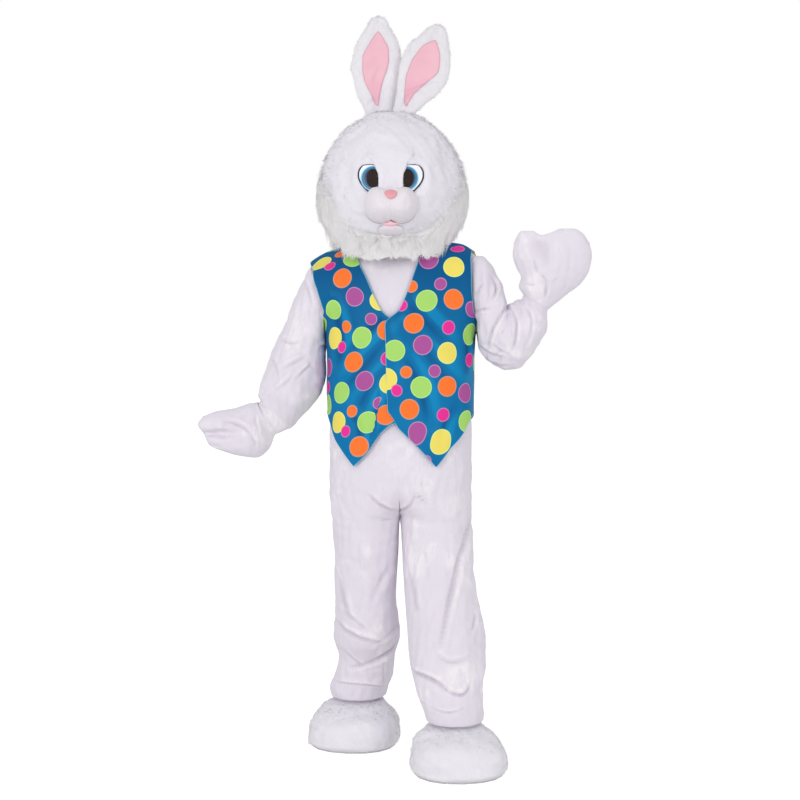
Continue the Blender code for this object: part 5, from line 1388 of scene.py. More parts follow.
def faceHeight(x, height):
    total = np.zeros(np.broadcast(x, height).shape)
    for out, high, wide, tall, rise in faceForms:
        for side in ((1,) if out == 0 else (1, -1)):
            total += rise * np.exp(-(np.abs((x - faceX - side * out) / wide) ** 2.6
                                     + np.abs((height - high) / tall) ** 2.6))
    # the bridge of the nose, whose steep sides hide the inner part of each eye
    aside = np.abs(x - faceX)
    half = np.interp(height, *bridgeEdge.values())
    bridge = ramp(aside - half, 0.0016, -0.0016)
    total += bridgeRise * (bridge + 0.6 * ramp(aside, 0.075, 0.03) * (1 - bridge)
                           * (1 - insideEye(x, height))) * (
        ramp(height, 1.535, 1.56) * (1 - ramp(height, 1.65, 1.7)))
    socket = insideEye(x, height) * (1 - bridge)
    return total * (1 - socket) + eyeSink * socket


headPlush = plushLook("headPlush", {"patchScale": 5.0, "shade": (0.752, 0.73, 0.79),
                                    "body": (0.8, 0.778, 0.846), "crushScale": 46.0,
                                    "crushDepth": 0.003}, 0.25)
headOuter = {}
for name, half, middle in (("face", frontHalf, 0.0), ("back", backHalf, 180.0)):
    # rows and columns stand closest together about the eyes and muzzle
    close = 1 + 2.0 * (half == frontHalf) * np.exp(-((headShares - 0.6) / 0.13) ** 2)
    close = np.cumsum(close * (headShares + 0.02) ** -0.1)
    share = np.interp(np.linspace(close[0], close[-1], headMesh["rows"][half]), close,
                      headShares)[:, None]
    quarter = 90 - math.degrees(seamGap / headRows["halfWidth"].max())
    turn = np.linspace(-1, 1, headMesh["columns"][half])[None, :]
    azimuth = middle + quarter * (turn if half == backHalf else 0.45 * turn + 0.55 * turn ** 3)
    outer = headPoint(azimuth, share)
    outer[..., 1] += half * seamGap
    out = gridNormals(outer, False)
    centre = np.array([*headMiddle, headCentreHeight])
    out *= np.sign((out * (outer - centre)).sum())
    height = (rumple(outer, headMesh["swellSize"], headMesh["swell"], 12)
              + rumple(outer, headMesh["crushSize"], headMesh["crush"], 13))
    toSeam = np.abs(outer[..., 1] - headMiddle[1])
    height *= ramp(share, 0.02, 0.12) * (1 - ramp(share, 0.86, 0.97)) * ramp(toSeam, 0.0, 0.02)
    if half == frontHalf:
        onFace = ramp(-out[..., 1], 0.15, 0.45)
        height *= 1 - insideEye(outer[..., 0], outer[..., 2]) * onFace
        height += faceHeight(outer[..., 0], outer[..., 2]) * onFace
    outer += out * height[..., None]
    inner = outer - headWall * out
    outer[0], inner[0] = outer[0].mean(axis=0), inner[0].mean(axis=0)
    behindSeam = np.maximum(half * (inner[..., 1] - headMiddle[1]), seamGap)
    inner[..., 1] = headMiddle[1] + half * behindSeam
    piece = shell(f"head.{name}", outer, inner, headPlush, closed=(0,))
    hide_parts(f"head_{name}")
    headOuter[half] = (outer, out)
print("head")


def muzzleOutline(count=40):
    # one side's edge, from under the nose out and round to the middle of the mouth
    places = [(0.0, 1.562), (0.018, 1.5715), (0.036, 1.5765), (0.05, 1.574), (0.063, 1.562),
              (0.0705, 1.545), (0.0722, 1.527), (0.0685, 1.508), (0.058, 1.491),
              (0.042, 1.4815), (0.024, 1.4785), (0.009, 1.4825), (0.0, 1.488)]
    return through(places, np.linspace(0, 1, count))


def padHeight(x, height):
    # both pads swell from one rounded edge, with a shallow parting between them
    edge = muzzleOutline(120)[6:-6]
    aside = np.abs(np.asarray(x) - faceX)
    away = np.hypot(aside[..., None] - edge[:, 0], np.asarray(height)[..., None] - edge[:, 1])
    into = np.clip(away.min(axis=-1) / padRound, 0, 1)
    parting = 1 - 0.05 * np.exp(-(aside / 0.008) ** 2)
    return padRiseMost * np.sqrt(1 - (1 - into) ** 2) * parting


def oval(centre, size, count, squareness=1.0):
    angle = np.linspace(0, 2 * math.pi, count, endpoint=False)
    return np.column_stack([centre[0] + size[0] * power(np.cos(angle), squareness),
                            centre[1] + size[1] * power(np.sin(angle), squareness)])


def facePiece(name, outline, rise, look, ground=0.0, hole=None, rings=24):
    # a piece that lies on the face: rise(x, height, r) is how far its front stands off
    outline = np.asarray(outline)
    centre = outline.mean(axis=0)
    if hole is None:
        r = (np.linspace(0, 1, rings) ** 0.8)[:, None]
        flat = centre + r[..., None] * (outline - centre)[None]
    else:
        r = np.linspace(0, 1, rings)[:, None]
        flat = hole + r[..., None] * (outline - hole)
    x, height = flat[..., 0], flat[..., 1]
    base = headFront(x, height) - layGap
    base = base - (ground(x, height) if callable(ground) else ground)
    front = np.stack([x, base - rise(x, height, r), height], axis=-1)
    behindIt = np.stack([x, base, height], axis=-1)
    ringAt = np.stack([r + 0 * x, 0 * x], axis=-1)
    return shell(name, front, behindIt, look, wrap=True, closed=() if hole is not None else (0,),
                 uv={"ring": ringAt})


def plain(name, colour, roughness, **more):
    look = Look(name)
    return look.finish(Base_Color=colour, Roughness=roughness, **more)


irisLook = Look("irisPrint")
ringPlace = irisLook.part(irisLook.uv("ring"), "X")
irisColour = irisLook.node("ShaderNodeValToRGB", {"stops": [
    (0.0, (0.006, 0.025, 0.06)), (0.42, (0.008, 0.04, 0.095)), (0.54, (0.025, 0.15, 0.31)),
    (0.82, (0.05, 0.23, 0.43)), (0.9, (0.3, 0.58, 0.76))]}, {"Fac": ringPlace})
irisPrint = irisLook.finish(Base_Color=irisColour, Roughness=0.35)

meshLook = Look("pupilMesh")
meshPlace = meshLook.place()
meshBlotch = meshLook.noise(meshPlace, 90.0, 2.0)
meshWeave = meshLook.node("ShaderNodeTexVoronoi", {}, {
    "Vector": meshPlace, "Scale": 900.0, "Randomness": 0.1}, "Distance")
meshColour = meshLook.mix(meshBlotch, (0.003, 0.002, 0.002), (0.036, 0.018, 0.014))
pupilMesh = meshLook.finish(Base_Color=meshColour, Roughness=0.75, Specular_IOR_Level=0.3,
                            Normal=bumped(meshLook, meshWeave, 0.4, 0.0004))
eyeWhite = plain("eyeWhite", (0.86, 0.89, 0.93), 0.45, Specular_IOR_Level=0.3)
eyeLine = plain("eyeLine", (0.012, 0.016, 0.04), 0.7)
eyeStack = {"line": 0.0006, "white": 0.0012, "iris": 0.0016, "pupil": 0.0024, "lineWidth": 0.0044}


def flatRise(layer):
    # each layer of an eye stands off the face evenly
    return lambda x, z, r: eyeStack[layer] + 0 * x


for side in (rightSide, leftSide):
    word = sideName[side]
    whole = eyeShape(side, 64)
    middle = whole.mean(axis=0)
    toMiddle = middle - whole
    toMiddle /= np.linalg.norm(toMiddle, axis=1, keepdims=True)
    # the line is thinnest over the top
    thin = 1 - 0.45 * ramp(whole[:, 1:], 1.63, 1.639)
    shown = whole + toMiddle * eyeStack["lineWidth"] * thin
    line = facePiece(f"eyeLine.{word}", whole, flatRise("line"), eyeLine, rings=10)
    white = facePiece(f"eyeWhite.{word}", shown, flatRise("white"), eyeWhite, rings=10)
    pupilMiddle = (faceX + side * pupilOut[side], pupilHeight)
    iris = facePiece(f"iris.{word}", oval(pupilMiddle, irisSize[side], 64),
                     flatRise("iris"), irisPrint, rings=12,
                     hole=oval(pupilMiddle, irisHole, 64))
    pupil = facePiece(f"pupil.{word}", oval(pupilMiddle, pupilSize, 48, 0.92),
                      flatRise("pupil"), pupilMesh, rings=10)
    for piece, node, slotName in ((line, f"eye_{word}", "screen_black"),
                                  (white, f"eye_{word}", "eye_white"),
                                  (iris, f"iris_{word}", "iris_blue"),
                                  (pupil, f"pupil_{word}", "screen_black")):
        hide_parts(node)
print("eyes")

padMesh = {"count": 72, "rings": 26}
padPlush = plushLook("padPlush", {"shade": (0.76, 0.715, 0.765), "body": (0.8, 0.755, 0.8),
                                  "crushScale": 60.0, "patchScale": 9.0}, 0.2)
nosePlush = plushLook("nosePlush", {"shade": (0.83, 0.335, 0.385), "body": (0.87, 0.405, 0.45),
                                    "nap": (0.9, 0.53, 0.55), "crushScale": 90.0}, 0.4)
lipSatin = plain("lipSatin", (0.95, 0.56, 0.63), 0.7, Specular_IOR_Level=0.15)
for side in (rightSide, leftSide):
    edge = muzzleOutline()
    middle = np.linspace(edge[-1], edge[0], padMesh["count"] - len(edge) + 2)[1:-1]
    outline = np.concatenate([edge, middle])
    outline[:, 0] = faceX + side * np.maximum(outline[:, 0], seamGap / 3)

    def padFront(x, height, r):
        swell = rumple(np.stack([x, 0 * x, height], axis=-1), 0.05, 0.001, 51 + side)
        inward = 0.0012 * np.exp(-(np.abs(x - faceX) / 0.003) ** 2)
        return muzzleEdge + padHeight(x, height) + (swell - inward) * (1 - r ** 6)

    pad = facePiece(f"muzzlePad.{sideName[side]}", outline, padFront, padPlush,
                    rings=padMesh["rings"])
    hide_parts(f"muzzle_{sideName[side]}")
noseShape = {"height": 1.555, "size": (0.0155, 0.0124), "taper": 0.3, "edge": 0.002,
             "rise": 0.007}
outline = oval((faceX, noseShape["height"]), noseShape["size"], 48, 0.85)
broader = 1 + noseShape["taper"] * (outline[:, 1] - noseShape["height"]) / noseShape["size"][1]
outline[:, 0] = faceX + (outline[:, 0] - faceX) * broader
nose = facePiece("nose.soft", outline,
                 lambda x, z, r: noseShape["edge"] + noseShape["rise"] * np.sqrt(1 - r ** 2.4),
                 nosePlush, rings=16,
                 ground=lambda x, z: muzzleEdge + 1.5 * layGap + padHeight(x, z))
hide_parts("nose")
lipShape = {"middle": -0.0015, "half": 0.0225, "top": 1.4815, "arch": 0.0018, "peak": 0.005,
            "bottom": 1.4705,
            "edge": 0.012, "rise": 0.006}
lipAcross = np.linspace(-1, 1, 21)
lipTop = lipShape["top"] - lipShape["arch"] * lipAcross ** 2
lipTop += lipShape["peak"] * np.exp(-(lipAcross / 0.22) ** 2)
lipLow = lipTop[0] - (lipTop[0] - lipShape["bottom"]) * (1 - lipAcross ** 2) ** 0.8
outline = np.concatenate([np.column_stack([lipAcross, lipTop]),
                          np.column_stack([lipAcross, lipLow])[-2:0:-1]])
outline[:, 0] = faceX + lipShape["middle"] + lipShape["half"] * outline[:, 0]
lip = facePiece("lip.soft", outline,
                lambda x, z, r: lipShape["edge"] + lipShape["rise"] * np.sqrt(1 - r ** 2),
                lipSatin, ground=-layGap / 2, rings=12)
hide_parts("lip")
chinShape = {"height": 1.461, "size": (0.034, 0.015), "edge": 0.001, "rise": 0.011}
chin = facePiece("chin.soft", oval((faceX, chinShape["height"]), chinShape["size"], 60),
                 lambda x, z, r: chinShape["edge"] + chinShape["rise"] * (1 - r ** 2),
                 padPlush, rings=18)
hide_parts("chin")
# a thin dark strip under both pads: partly the mouth's stitched line, partly painted shadow where
# the pads' lower edge meets the face
mouthStitch = plain("mouthStitch", (0.3, 0.27, 0.31), 0.9)
mouthLine = {"from": 0.009, "to": 0.072, "low": 1.512, "drop": 0.0012, "wide": 0.0013, "off": 0.009}
for side in (rightSide, leftSide):
    edge = muzzleOutline(160)
    edge = edge[(edge[:, 0] > mouthLine["from"]) & (edge[:, 1] < mouthLine["low"])]
    outer = edge + unit(edge - [0.03, 1.525]) * mouthLine["drop"]
    half = mouthLine["wide"] / 2 * np.sin(np.linspace(0.15, math.pi - 0.15, len(edge)))[:, None]
    strip = np.stack([outer - half * unit(edge - [0.03, 1.525]),
                      outer + half * unit(edge - [0.03, 1.525])], axis=1)
    x = faceX + side * strip[..., 0]
    y = headFront(x, strip[..., 1]) - mouthLine["off"]
    points = np.stack([x, y, strip[..., 1]], axis=-1)
    stitchAndShadow = placed(f"mouthStitch.{sideName[side]}", points.reshape(-1, 3),
                    quads(len(edge), 2, False), mouthStitch)
    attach(stitchAndShadow, "root")
print("muzzle")

earRows = {
    rightSide: table("along right left", [
        (0, 34, 40), (32, 47, 46), (56, 60, 52),
        (98, 68.7, 59), (134.5, 76.7, 66), (165, 71, 65),
        (195.5, 62.5, 60), (223.5, 49, 48), (249.5, 32, 32),
        (264, 25, 26), (273.5, 17, 19), (278.5, 0, 0)], 1000),
    leftSide: table("along right left", [
        (0, 30, 27), (47, 42, 48), (87, 54, 69.6),
        (129, 64, 78), (152, 65, 75), (180, 61.5, 66),
        (209, 47, 52.5), (236, 35, 36), (254, 24, 25),
        (262, 15, 17), (267, 0, 0)], 1000),
}
liningRows = {
    rightSide: table("along right left", [
        (24.5, 6, 1), (58.5, 21, 6), (93, 38, 13.6),
        (128.5, 44, 26), (158.5, 44, 31), (183, 34, 30),
        (213.5, 16, 16), (235.5, 1, 1)], 1000),
    leftSide: table("along right left", [
        (18, 4, 1), (55.5, 21.3, 6), (75.5, 27, 14.8),
        (101, 34, 28), (142, 35, 45.4), (166, 30, 40),
        (192, 22.7, 28.4), (221, 0, 5)], 1000),
}
earBase = {rightSide: (-0.0625, 1.796), leftSide: (0.0105, 1.799)}
earLean = {rightSide: 0.0, leftSide: 23.0}
earY = {rightSide: -0.004, leftSide: -0.036}
earForm = {"thickness": 0.032, "fullWidth": 0.1, "dish": 0.62, "dishWidth": 0.5,
           "curve": 0.009, "rows": 70, "columns": 46, "liningDepth": 0.001,
           "swell": (0.07, 0.0014)}
earCreases = {
    rightSide: [
        (-98, 400, -80, 420, -62, 425, 6, 3.5, 2),
        (-40, 395, -52, 412, -50, 440, 6, 3, 2),
        (-75, 395, -72, 410, -74, 430, 5, 2.5, 1.5),
        (-72, 470, -66, 500, -50, 520, 6, 2.2, 1.4),
    ],
    leftSide: [
        (4, 400, 14, 418, 20, 445, 6, 4, 2.5),
        (20, 392, 36, 405, 52, 410, 6, 3, 2),
        (-4, 420, 4, 440, 4, 465, 5, 2.5, 1.8),
        (12, 441, 52, 457, 106, 478, 4.5, 4.5, 3),
        (13, 426, 34, 441, 62, 452, 4, 3.5, 2.5),
    ],
}


def earPoint(side, along, aside, face):
    rows = earRows[side]
    right, left = (smooth(rows["along"], rows[key], along) for key in ("right", "left"))
    across = np.where(aside < 0, aside * right, aside * left)
    narrow = np.clip((right + left) / earForm["fullWidth"], 0, 1)
    puff = np.sqrt(np.clip(1 - aside ** 2, 0, 1) * narrow)
    dish = earForm["dish"] * np.exp(-(aside / earForm["dishWidth"]) ** 2) * (face == frontHalf)
    lean = math.radians(earLean[side])
    x = earBase[side][0] + along * math.sin(lean) + across * math.cos(lean)
    height = earBase[side][1] + along * math.cos(lean) - across * math.sin(lean)
    y = earY[side] + face * earForm["thickness"] / 2 * puff * (1 - dish)
    y += earForm["curve"] * (2 * along / rows["along"][-1] - 1) ** 2
    return np.stack([x, y + 0 * x, height], axis=-1)


def earRelief(side, face, t, aside):
    keep = ramp(t, 0.03, 0.12) * (1 - ramp(t, 0.9, 1.0)) * np.sqrt(np.clip(1 - aside ** 2, 0, 1))
    return (rumple(face, *earForm["swell"], 61) + creaseHeight(face, earCreases[side])) * keep


def headTop(x, y):
    share = np.linspace(0.002, 0.5, 800)
    wide, front, back, height = (
        np.interp(share, headRowShares, headAt(key, headRowShares))
        for key in ("halfWidth", "front", "back", "height"))
    aside = (np.asarray(x)[..., None] - headMiddle[0]) / wide
    fore = np.asarray(y)[..., None] - headMiddle[1]
    fore = fore / np.where(fore > 0, back, front)
    inside = np.hypot(aside, fore) < 1.0
    return height[np.maximum(np.argmax(inside, axis=-1) - 1, 0)]


headRowShares = np.linspace(0, 1, 13) ** 0.9
liningSatin = Look("earSatin")
liningPlace = liningSatin.place()
liningNoise = liningSatin.noise(liningPlace, 24.0, 3.0)
liningSeam = liningSatin.reach(liningSatin.part(liningSatin.uv("edge"), "X"), 0.003, 0.0004)
liningColour = liningSatin.mix(liningNoise, (0.79, 0.43, 0.515), (0.84, 0.515, 0.59))
# painted shade: the lining darkens towards the ear's base
liningShade = liningSatin.reach(liningSatin.part(liningPlace, "Z"), 0.5, 0.41)
liningColour = liningSatin.mix(liningShade * 0.5, liningColour, (0.77, 0.37, 0.5))
liningColour = liningSatin.mix(liningSeam * 0.6, liningColour, (0.52, 0.2, 0.26))
earSatin = liningSatin.finish(Base_Color=liningColour, Roughness=0.6, Sheen_Weight=0.1,
                              Sheen_Roughness=0.4, Specular_IOR_Level=0.15)
earPlush = plushLook("earPlush", {"shade": (0.76, 0.735, 0.785), "body": (0.805, 0.78, 0.822),
                                  "crushScale": 55.0, "crushDepth": 0.0025}, 0.4)
earOuter = {}
for side in (rightSide, leftSide):
    whole, lining = earRows[side], liningRows[side]
    t = np.linspace(0, 1, earForm["rows"])[:, None]
    aside = np.sin(np.linspace(-math.pi / 2, math.pi / 2, earForm["columns"]))[None, :]
    along = whole["along"][-1] * t + 0 * aside
    faces = [earPoint(side, along, aside + 0 * t, face) for face in (frontHalf, backHalf)]
    for face, way in zip(faces, (-1.0, 1.0)):
        face[..., 1] += way * earRelief(side, face, t, aside)
        base = headTop(face[..., 0], face[..., 1]) + seamGap
        face[..., 2] = np.maximum(face[..., 2], base + 0.004 * t)
        face[0, :, 2] = base[0]
    ear = shell(f"ear.{sideName[side]}", *faces, earPlush)
    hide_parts(f"ear_{sideName[side]}")
    earOuter[side] = faces
    along = np.linspace(lining["along"][0], lining["along"][-1], 56)[:, None]
    share = np.linspace(-1, 1, 26)[None, :]
    across = np.where(share < 0, share * smooth(lining["along"], lining["right"], along),
                      share * smooth(lining["along"], lining["left"], along))
    aside = np.where(across < 0, across / smooth(whole["along"], whole["right"], along),
                     across / smooth(whole["along"], whole["left"], along))
    low = earPoint(side, along + 0 * share, aside, frontHalf)
    low[..., 1] -= earRelief(side, low, along / whole["along"][-1], aside)
    low[..., 1] -= earForm["liningDepth"]
    edge = edgeDistance(low)
    puffed = 0.0012 * ramp(edge, 0.0, 0.006)
    top = low - np.stack([0 * puffed, satinWall + puffed, 0 * puffed], axis=-1)
    pink = shell(f"earLining.{sideName[side]}", top, low, earSatin,
                 uv={"edge": np.stack([edge, edge], axis=-1)})
    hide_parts(f"ear_lining_{sideName[side]}")
    declareSheet(pink, top, (0.095, 0.215) if side == rightSide else (0.085, 0.205))
print("ears")

def ribbons(name, roots, bends, tips, widths, facing, look, steps=(0.0, 0.4, 0.75), tone=0.0):
    # each strand is a flat ribbon that narrows to its tip, and is lit like the coat it lies in
    count, rows = len(roots), len(steps)
    t = np.array([*steps, 1.0])[None, :, None]
    spine = ((1 - t) ** 2 * roots[:, None] + 2 * t * (1 - t) * bends[:, None]
             + t * t * tips[:, None])
    aside = unit(np.cross(tips - roots, facing))
    twist = rng.uniform(-0.7, 0.7, (count, 1))
    aside = unit(aside * np.cos(twist) + facing * np.sin(twist))
    taper = (1 - 0.55 * t[:, :-1]) * widths[:, None, None] / 2
    left = spine[:, :-1] - aside[:, None] * taper
    right = spine[:, :-1] + aside[:, None] * taper
    pairs = np.stack([left, right], axis=2).reshape(count, 2 * rows, 3)
    points = np.concatenate([pairs, spine[:, -1:]], axis=1)
    each = 2 * rows + 1
    first = each * np.arange(count)[:, None]
    loops = []
    for k in range(rows - 1):
        loops.append(first + np.array([2 * k, 2 * k + 1, 2 * k + 3, 2 * k + 2]))
    loops.append(first + np.array([2 * rows - 2, 2 * rows - 1, 2 * rows]))
    loops = np.concatenate(loops, axis=1).ravel()
    sizes = np.tile([4] * (rows - 1) + [3], count)
    mesh = bpy.data.meshes.new(name)
    mesh.vertices.add(each * count)
    mesh.vertices.foreach_set("co", (points.reshape(-1, 3) - [0, 0, floorToNeck]).ravel())
    mesh.loops.add(len(loops))
    mesh.loops.foreach_set("vertex_index", loops.astype(np.int32))
    mesh.polygons.add(len(sizes))
    starts = np.concatenate([[0], np.cumsum(sizes)[:-1]]).astype(np.int32)
    mesh.polygons.foreach_set("loop_start", starts)
    mesh.update(calc_edges=True)
    along = np.repeat(np.array([*steps, 1.0]), [2] * rows + [1])
    along = np.tile(along, count)
    uv = np.stack([np.repeat(tone + np.zeros(count), each), along], axis=-1)[loops]
    mesh.uv_layers.new(name="strand").data.foreach_set("uv", uv.ravel())
    mesh.materials.append(look)
    mesh.shade_smooth()
    lit = unit(facing + 0.35 * unit(tips - roots) + rng.normal(0, 0.1, facing.shape))
    mesh.normals_split_custom_set_from_vertices(np.repeat(lit, each, axis=0).tolist())
    return linked(name, mesh)


def within(grid, i, j, u, v):
    # a grid's value at u, v in its cell i, j
    return ((1 - u) * (1 - v) * grid[i, j] + u * (1 - v) * grid[i, j + 1]
            + (1 - u) * v * grid[i + 1, j] + u * v * grid[i + 1, j + 1])


def scatter(grid, out, count, wanted=None):
    # places on a grid, evenly by area, with the outward way at each
    a, b, c, d = grid[:-1, :-1], grid[:-1, 1:], grid[1:, :-1], grid[1:, 1:]
    area = np.linalg.norm(np.cross(b - a, c - a), axis=2)
    if wanted is not None:
        area = area * wanted((a + b + c + d) / 4)
    cell = rng.choice(area.size, size=count, p=(area / area.sum()).ravel())
    i, j = np.unravel_index(cell, area.shape)
    u, v = rng.random((2, count, 1))
    return within(grid, i, j, u, v), unit(within(out, i, j, u, v))


def fuzz(name, grid, out, f, look, wanted=None, flow=(0.0, 0.0, -1.0), grown=None):
    # short pile that leans the way the coat is brushed, in loose tufts
    roots, up = scatter(grid, out, f["count"], wanted)
    way = np.asarray(flow, float) + 0 * roots
    lay = unit(way - up * (way * up).sum(axis=1, keepdims=True))
    swirl = rumple(roots, f["tuft"], 1.0, 91)[:, None]
    lean = unit(lay + swirl * np.cross(up, lay))
    lift = f["lift"] * (1 + 0.5 * rumple(roots, 0.6 * f["tuft"], 1.0, 92))[:, None]
    stray = rng.normal(0, f["stray"], roots.shape)
    length = f["length"] * rng.uniform(0.55, 1.2, (len(roots), 1))
    if grown is not None:
        length = length * grown(roots)[:, None]
    tips = roots + length * unit(up * lift + lean + stray)
    bends = roots + 0.5 * length * unit(up * (lift + 0.7) + 0.6 * lean)
    tips[:, 2] = np.maximum(tips[:, 2], 0.001)
    widths = np.full(len(roots), f["width"])
    made = ribbons(name, roots - 0.0006 * up, bends, tips, widths, up, look, (0.0, 0.55),
                   tone=rng.uniform(0.0, f["tone"], len(roots)))
    # pile this short and thin lets the light through
    made.visible_shadow = made.visible_diffuse = False
    return made


pileFur = furLook("pileFur", (0.8, 0.775, 0.825), (0.87, 0.85, 0.88))
longFur = furLook("longFur", (0.845, 0.828, 0.838), (0.915, 0.902, 0.908))
headFuzz = {"count": 10500, "length": 0.0105, "width": 0.0011, "lift": 0.7, "stray": 0.33,
            "tuft": 0.055, "bare": 0.25, "longest": 1.9, "tone": 0.06}
ruffRows = table("azimuth topShare low", [
    (0, 0.98, 1.384), (25, 0.92, 1.384), (50, 0.7, 1.39), (75, 0.54, 1.4),
    (95, 0.48, 1.4), (120, 0.52, 1.4), (150, 0.6, 1.395), (180, 0.64, 1.39)])


def toRuff(points):
    # how far a place on the head stands above the long fur, as a share of the head's rows
    x, y = points[..., 0] - headMiddle[0], points[..., 1] - headMiddle[1]
    turn = np.degrees(np.arctan2(np.abs(x), -y))
    share = np.interp(-points[..., 2], -headHeights, headShares)
    return smooth(ruffRows["azimuth"], ruffRows["topShare"], turn) - share, turn


def grownPile(points):
    above, turn = toRuff(points)
    return 1 + (headFuzz["longest"] - 1) * ramp(above, 0.16, 0.0) + 0.7 * brow(points)


def brow(points):
    # the tufts over the eyes
    aside = (np.abs(points[..., 0] - faceX) - 0.058) / 0.024
    return np.exp(-aside ** 2 - ((points[..., 2] - 1.654) / 0.009) ** 2) * (
        points[..., 1] < headMiddle[1])


def offFace(points):
    # none grows on the eyes or under the muzzle
    x, height = points[..., 0], points[..., 2]
    ahead = points[..., 1] < headMiddle[1]
    aside = np.abs(x - faceX)
    eye = insideEye(x, height) * ramp(aside, 0.03, 0.036)
    muzzle = ((aside / 0.076) ** 2 + ((height - muzzleHeight) / 0.053) ** 2 < 1) * 1.0
    above, turn = toRuff(points)
    thick = headFuzz["bare"] + (1 - headFuzz["bare"]) * np.maximum(
        ramp(turn, 30, 75), 2.0 * ramp(above, 0.12, 0.0)) + 2.5 * brow(points)
    return thick * (1 - np.clip(eye + muzzle, 0, 1) * ahead)


for half, word in ((frontHalf, "face"), (backHalf, "back")):
    grid, out = headOuter[half]
    made = fuzz(f"headPile.{word}", grid, out, headFuzz, pileFur, offFace, grown=grownPile)
coverFuzz = {"count": 8500, "length": 0.0066, "width": 0.0011, "lift": 0.7, "stray": 0.25,
             "tuft": 0.04, "tone": 0.0}
for side in (rightSide, leftSide):
    grid, out = (np.concatenate([g, g[:, :1]], axis=1) for g in coverOuter[side])
    made = fuzz(f"coverPile.{sideName[side]}", grid[:37], out[:37], coverFuzz, pileFur)
earFuzz = {"count": 2600, "length": 0.008, "width": 0.001, "lift": 0.6, "stray": 0.25,
           "tuft": 0.03, "tone": 0.08}


def offLining(side):
    lining = liningRows[side]
    lean = math.radians(earLean[side])

    def wanted(points):
        dx = points[..., 0] - earBase[side][0]
        dz = points[..., 2] - earBase[side][1]
        along = dx * math.sin(lean) + dz * math.cos(lean)
        across = dx * math.cos(lean) - dz * math.sin(lean)
        low, high = lining["along"][0], lining["along"][-1]
        reach = [np.interp(along, lining["along"], lining[key]) for key in ("right", "left")]
        inside = ((along > low - 0.002) & (along < high + 0.002)
                  & (across > -reach[0] - 0.003) & (across < reach[1] + 0.003))
        return 1.0 - inside

    return wanted


for side in (rightSide, leftSide):
    for grid, way, word in zip(earOuter[side], (-1.0, 1.0), ("front", "back")):
        out = faceOut(grid, way)
        made = fuzz(f"earPile.{word}.{sideName[side]}", grid, out, earFuzz, pileFur,
                    offLining(side) if way < 0 else None, flow=(0.0, 0.0, 1.0))
print("short pile")

ruffForm = {"thickness": 0.018, "flare": 0.03, "lock": 0.01, "hang": 0.75, "inside": 0.012,
            "offHead": (0.0023, 0.0024), "rest": (0.085, 0.125)}
ruffFur = {"count": 19500, "locks": 760, "length": 0.046, "width": 0.0012, "gather": 0.8,
           "fringe": (-0.008, 0.014), "shade": 0.34, "above": 0.13, "lateLeft": 0.1}


def shoulderRidge(side, x):
    share = np.linspace(0, 1, 20)
    seam = stand(bodySection(side, frontHalf, float(shoulderStation), share, outside=vestEase))
    order = np.argsort(seam[:, 0])
    return np.interp(x, seam[order, 0], seam[order, 2])


def ruffFaces(side, turns, t):
    # the skin that the long fur grows on, and the surface that its locks lie along
    r = ruffForm
    turn, t = turns[None, :], t[:, None]
    top = smooth(ruffRows["azimuth"], ruffRows["topShare"], turn)
    low = smooth(ruffRows["azimuth"], ruffRows["low"], turn) + 0.5 * r["lock"]
    share = top + (1.0 - top) * np.minimum(t / r["hang"], 1)
    hang = np.clip((t - r["hang"]) / (1 - r["hang"]), 0, 1)
    offHead = r["offHead"][0] + r["offHead"][1] * np.sin(np.pi * t) ** 0.7
    offHead = offHead - 0.0055 * ramp(t, 0.07, 0.0)   # its top edge is sewn into the head
    thick = r["thickness"] * (0.15 + np.sin(np.pi * (0.05 + 0.8 * t)))
    flare = r["flare"] * ramp(t, 0.45, 0.9)
    azimuth = side * turn + 0 * t
    skin = headPoint(azimuth, share, outside=offHead)
    coat = headPoint(azimuth, share, outside=offHead + thick + flare)
    for face, spread in ((skin, r["inside"]), (coat, 0.0)):
        face[..., 2] += (low - face[..., 2]) * hang
        face[..., 0] += spread * hang * np.sin(np.radians(azimuth))
        face[..., 1] -= spread * hang * np.cos(np.radians(azimuth))
        aside = np.abs(face[-1, :, 1] - headMiddle[1])
        offRidge = ramp(aside, *r["rest"])
        rest = shoulderRidge(side, face[-1, :, 0]) + layGap - offRidge
        face[..., 2] += np.maximum(rest - face[-1, :, 2], 0.0) * hang
    return skin, coat


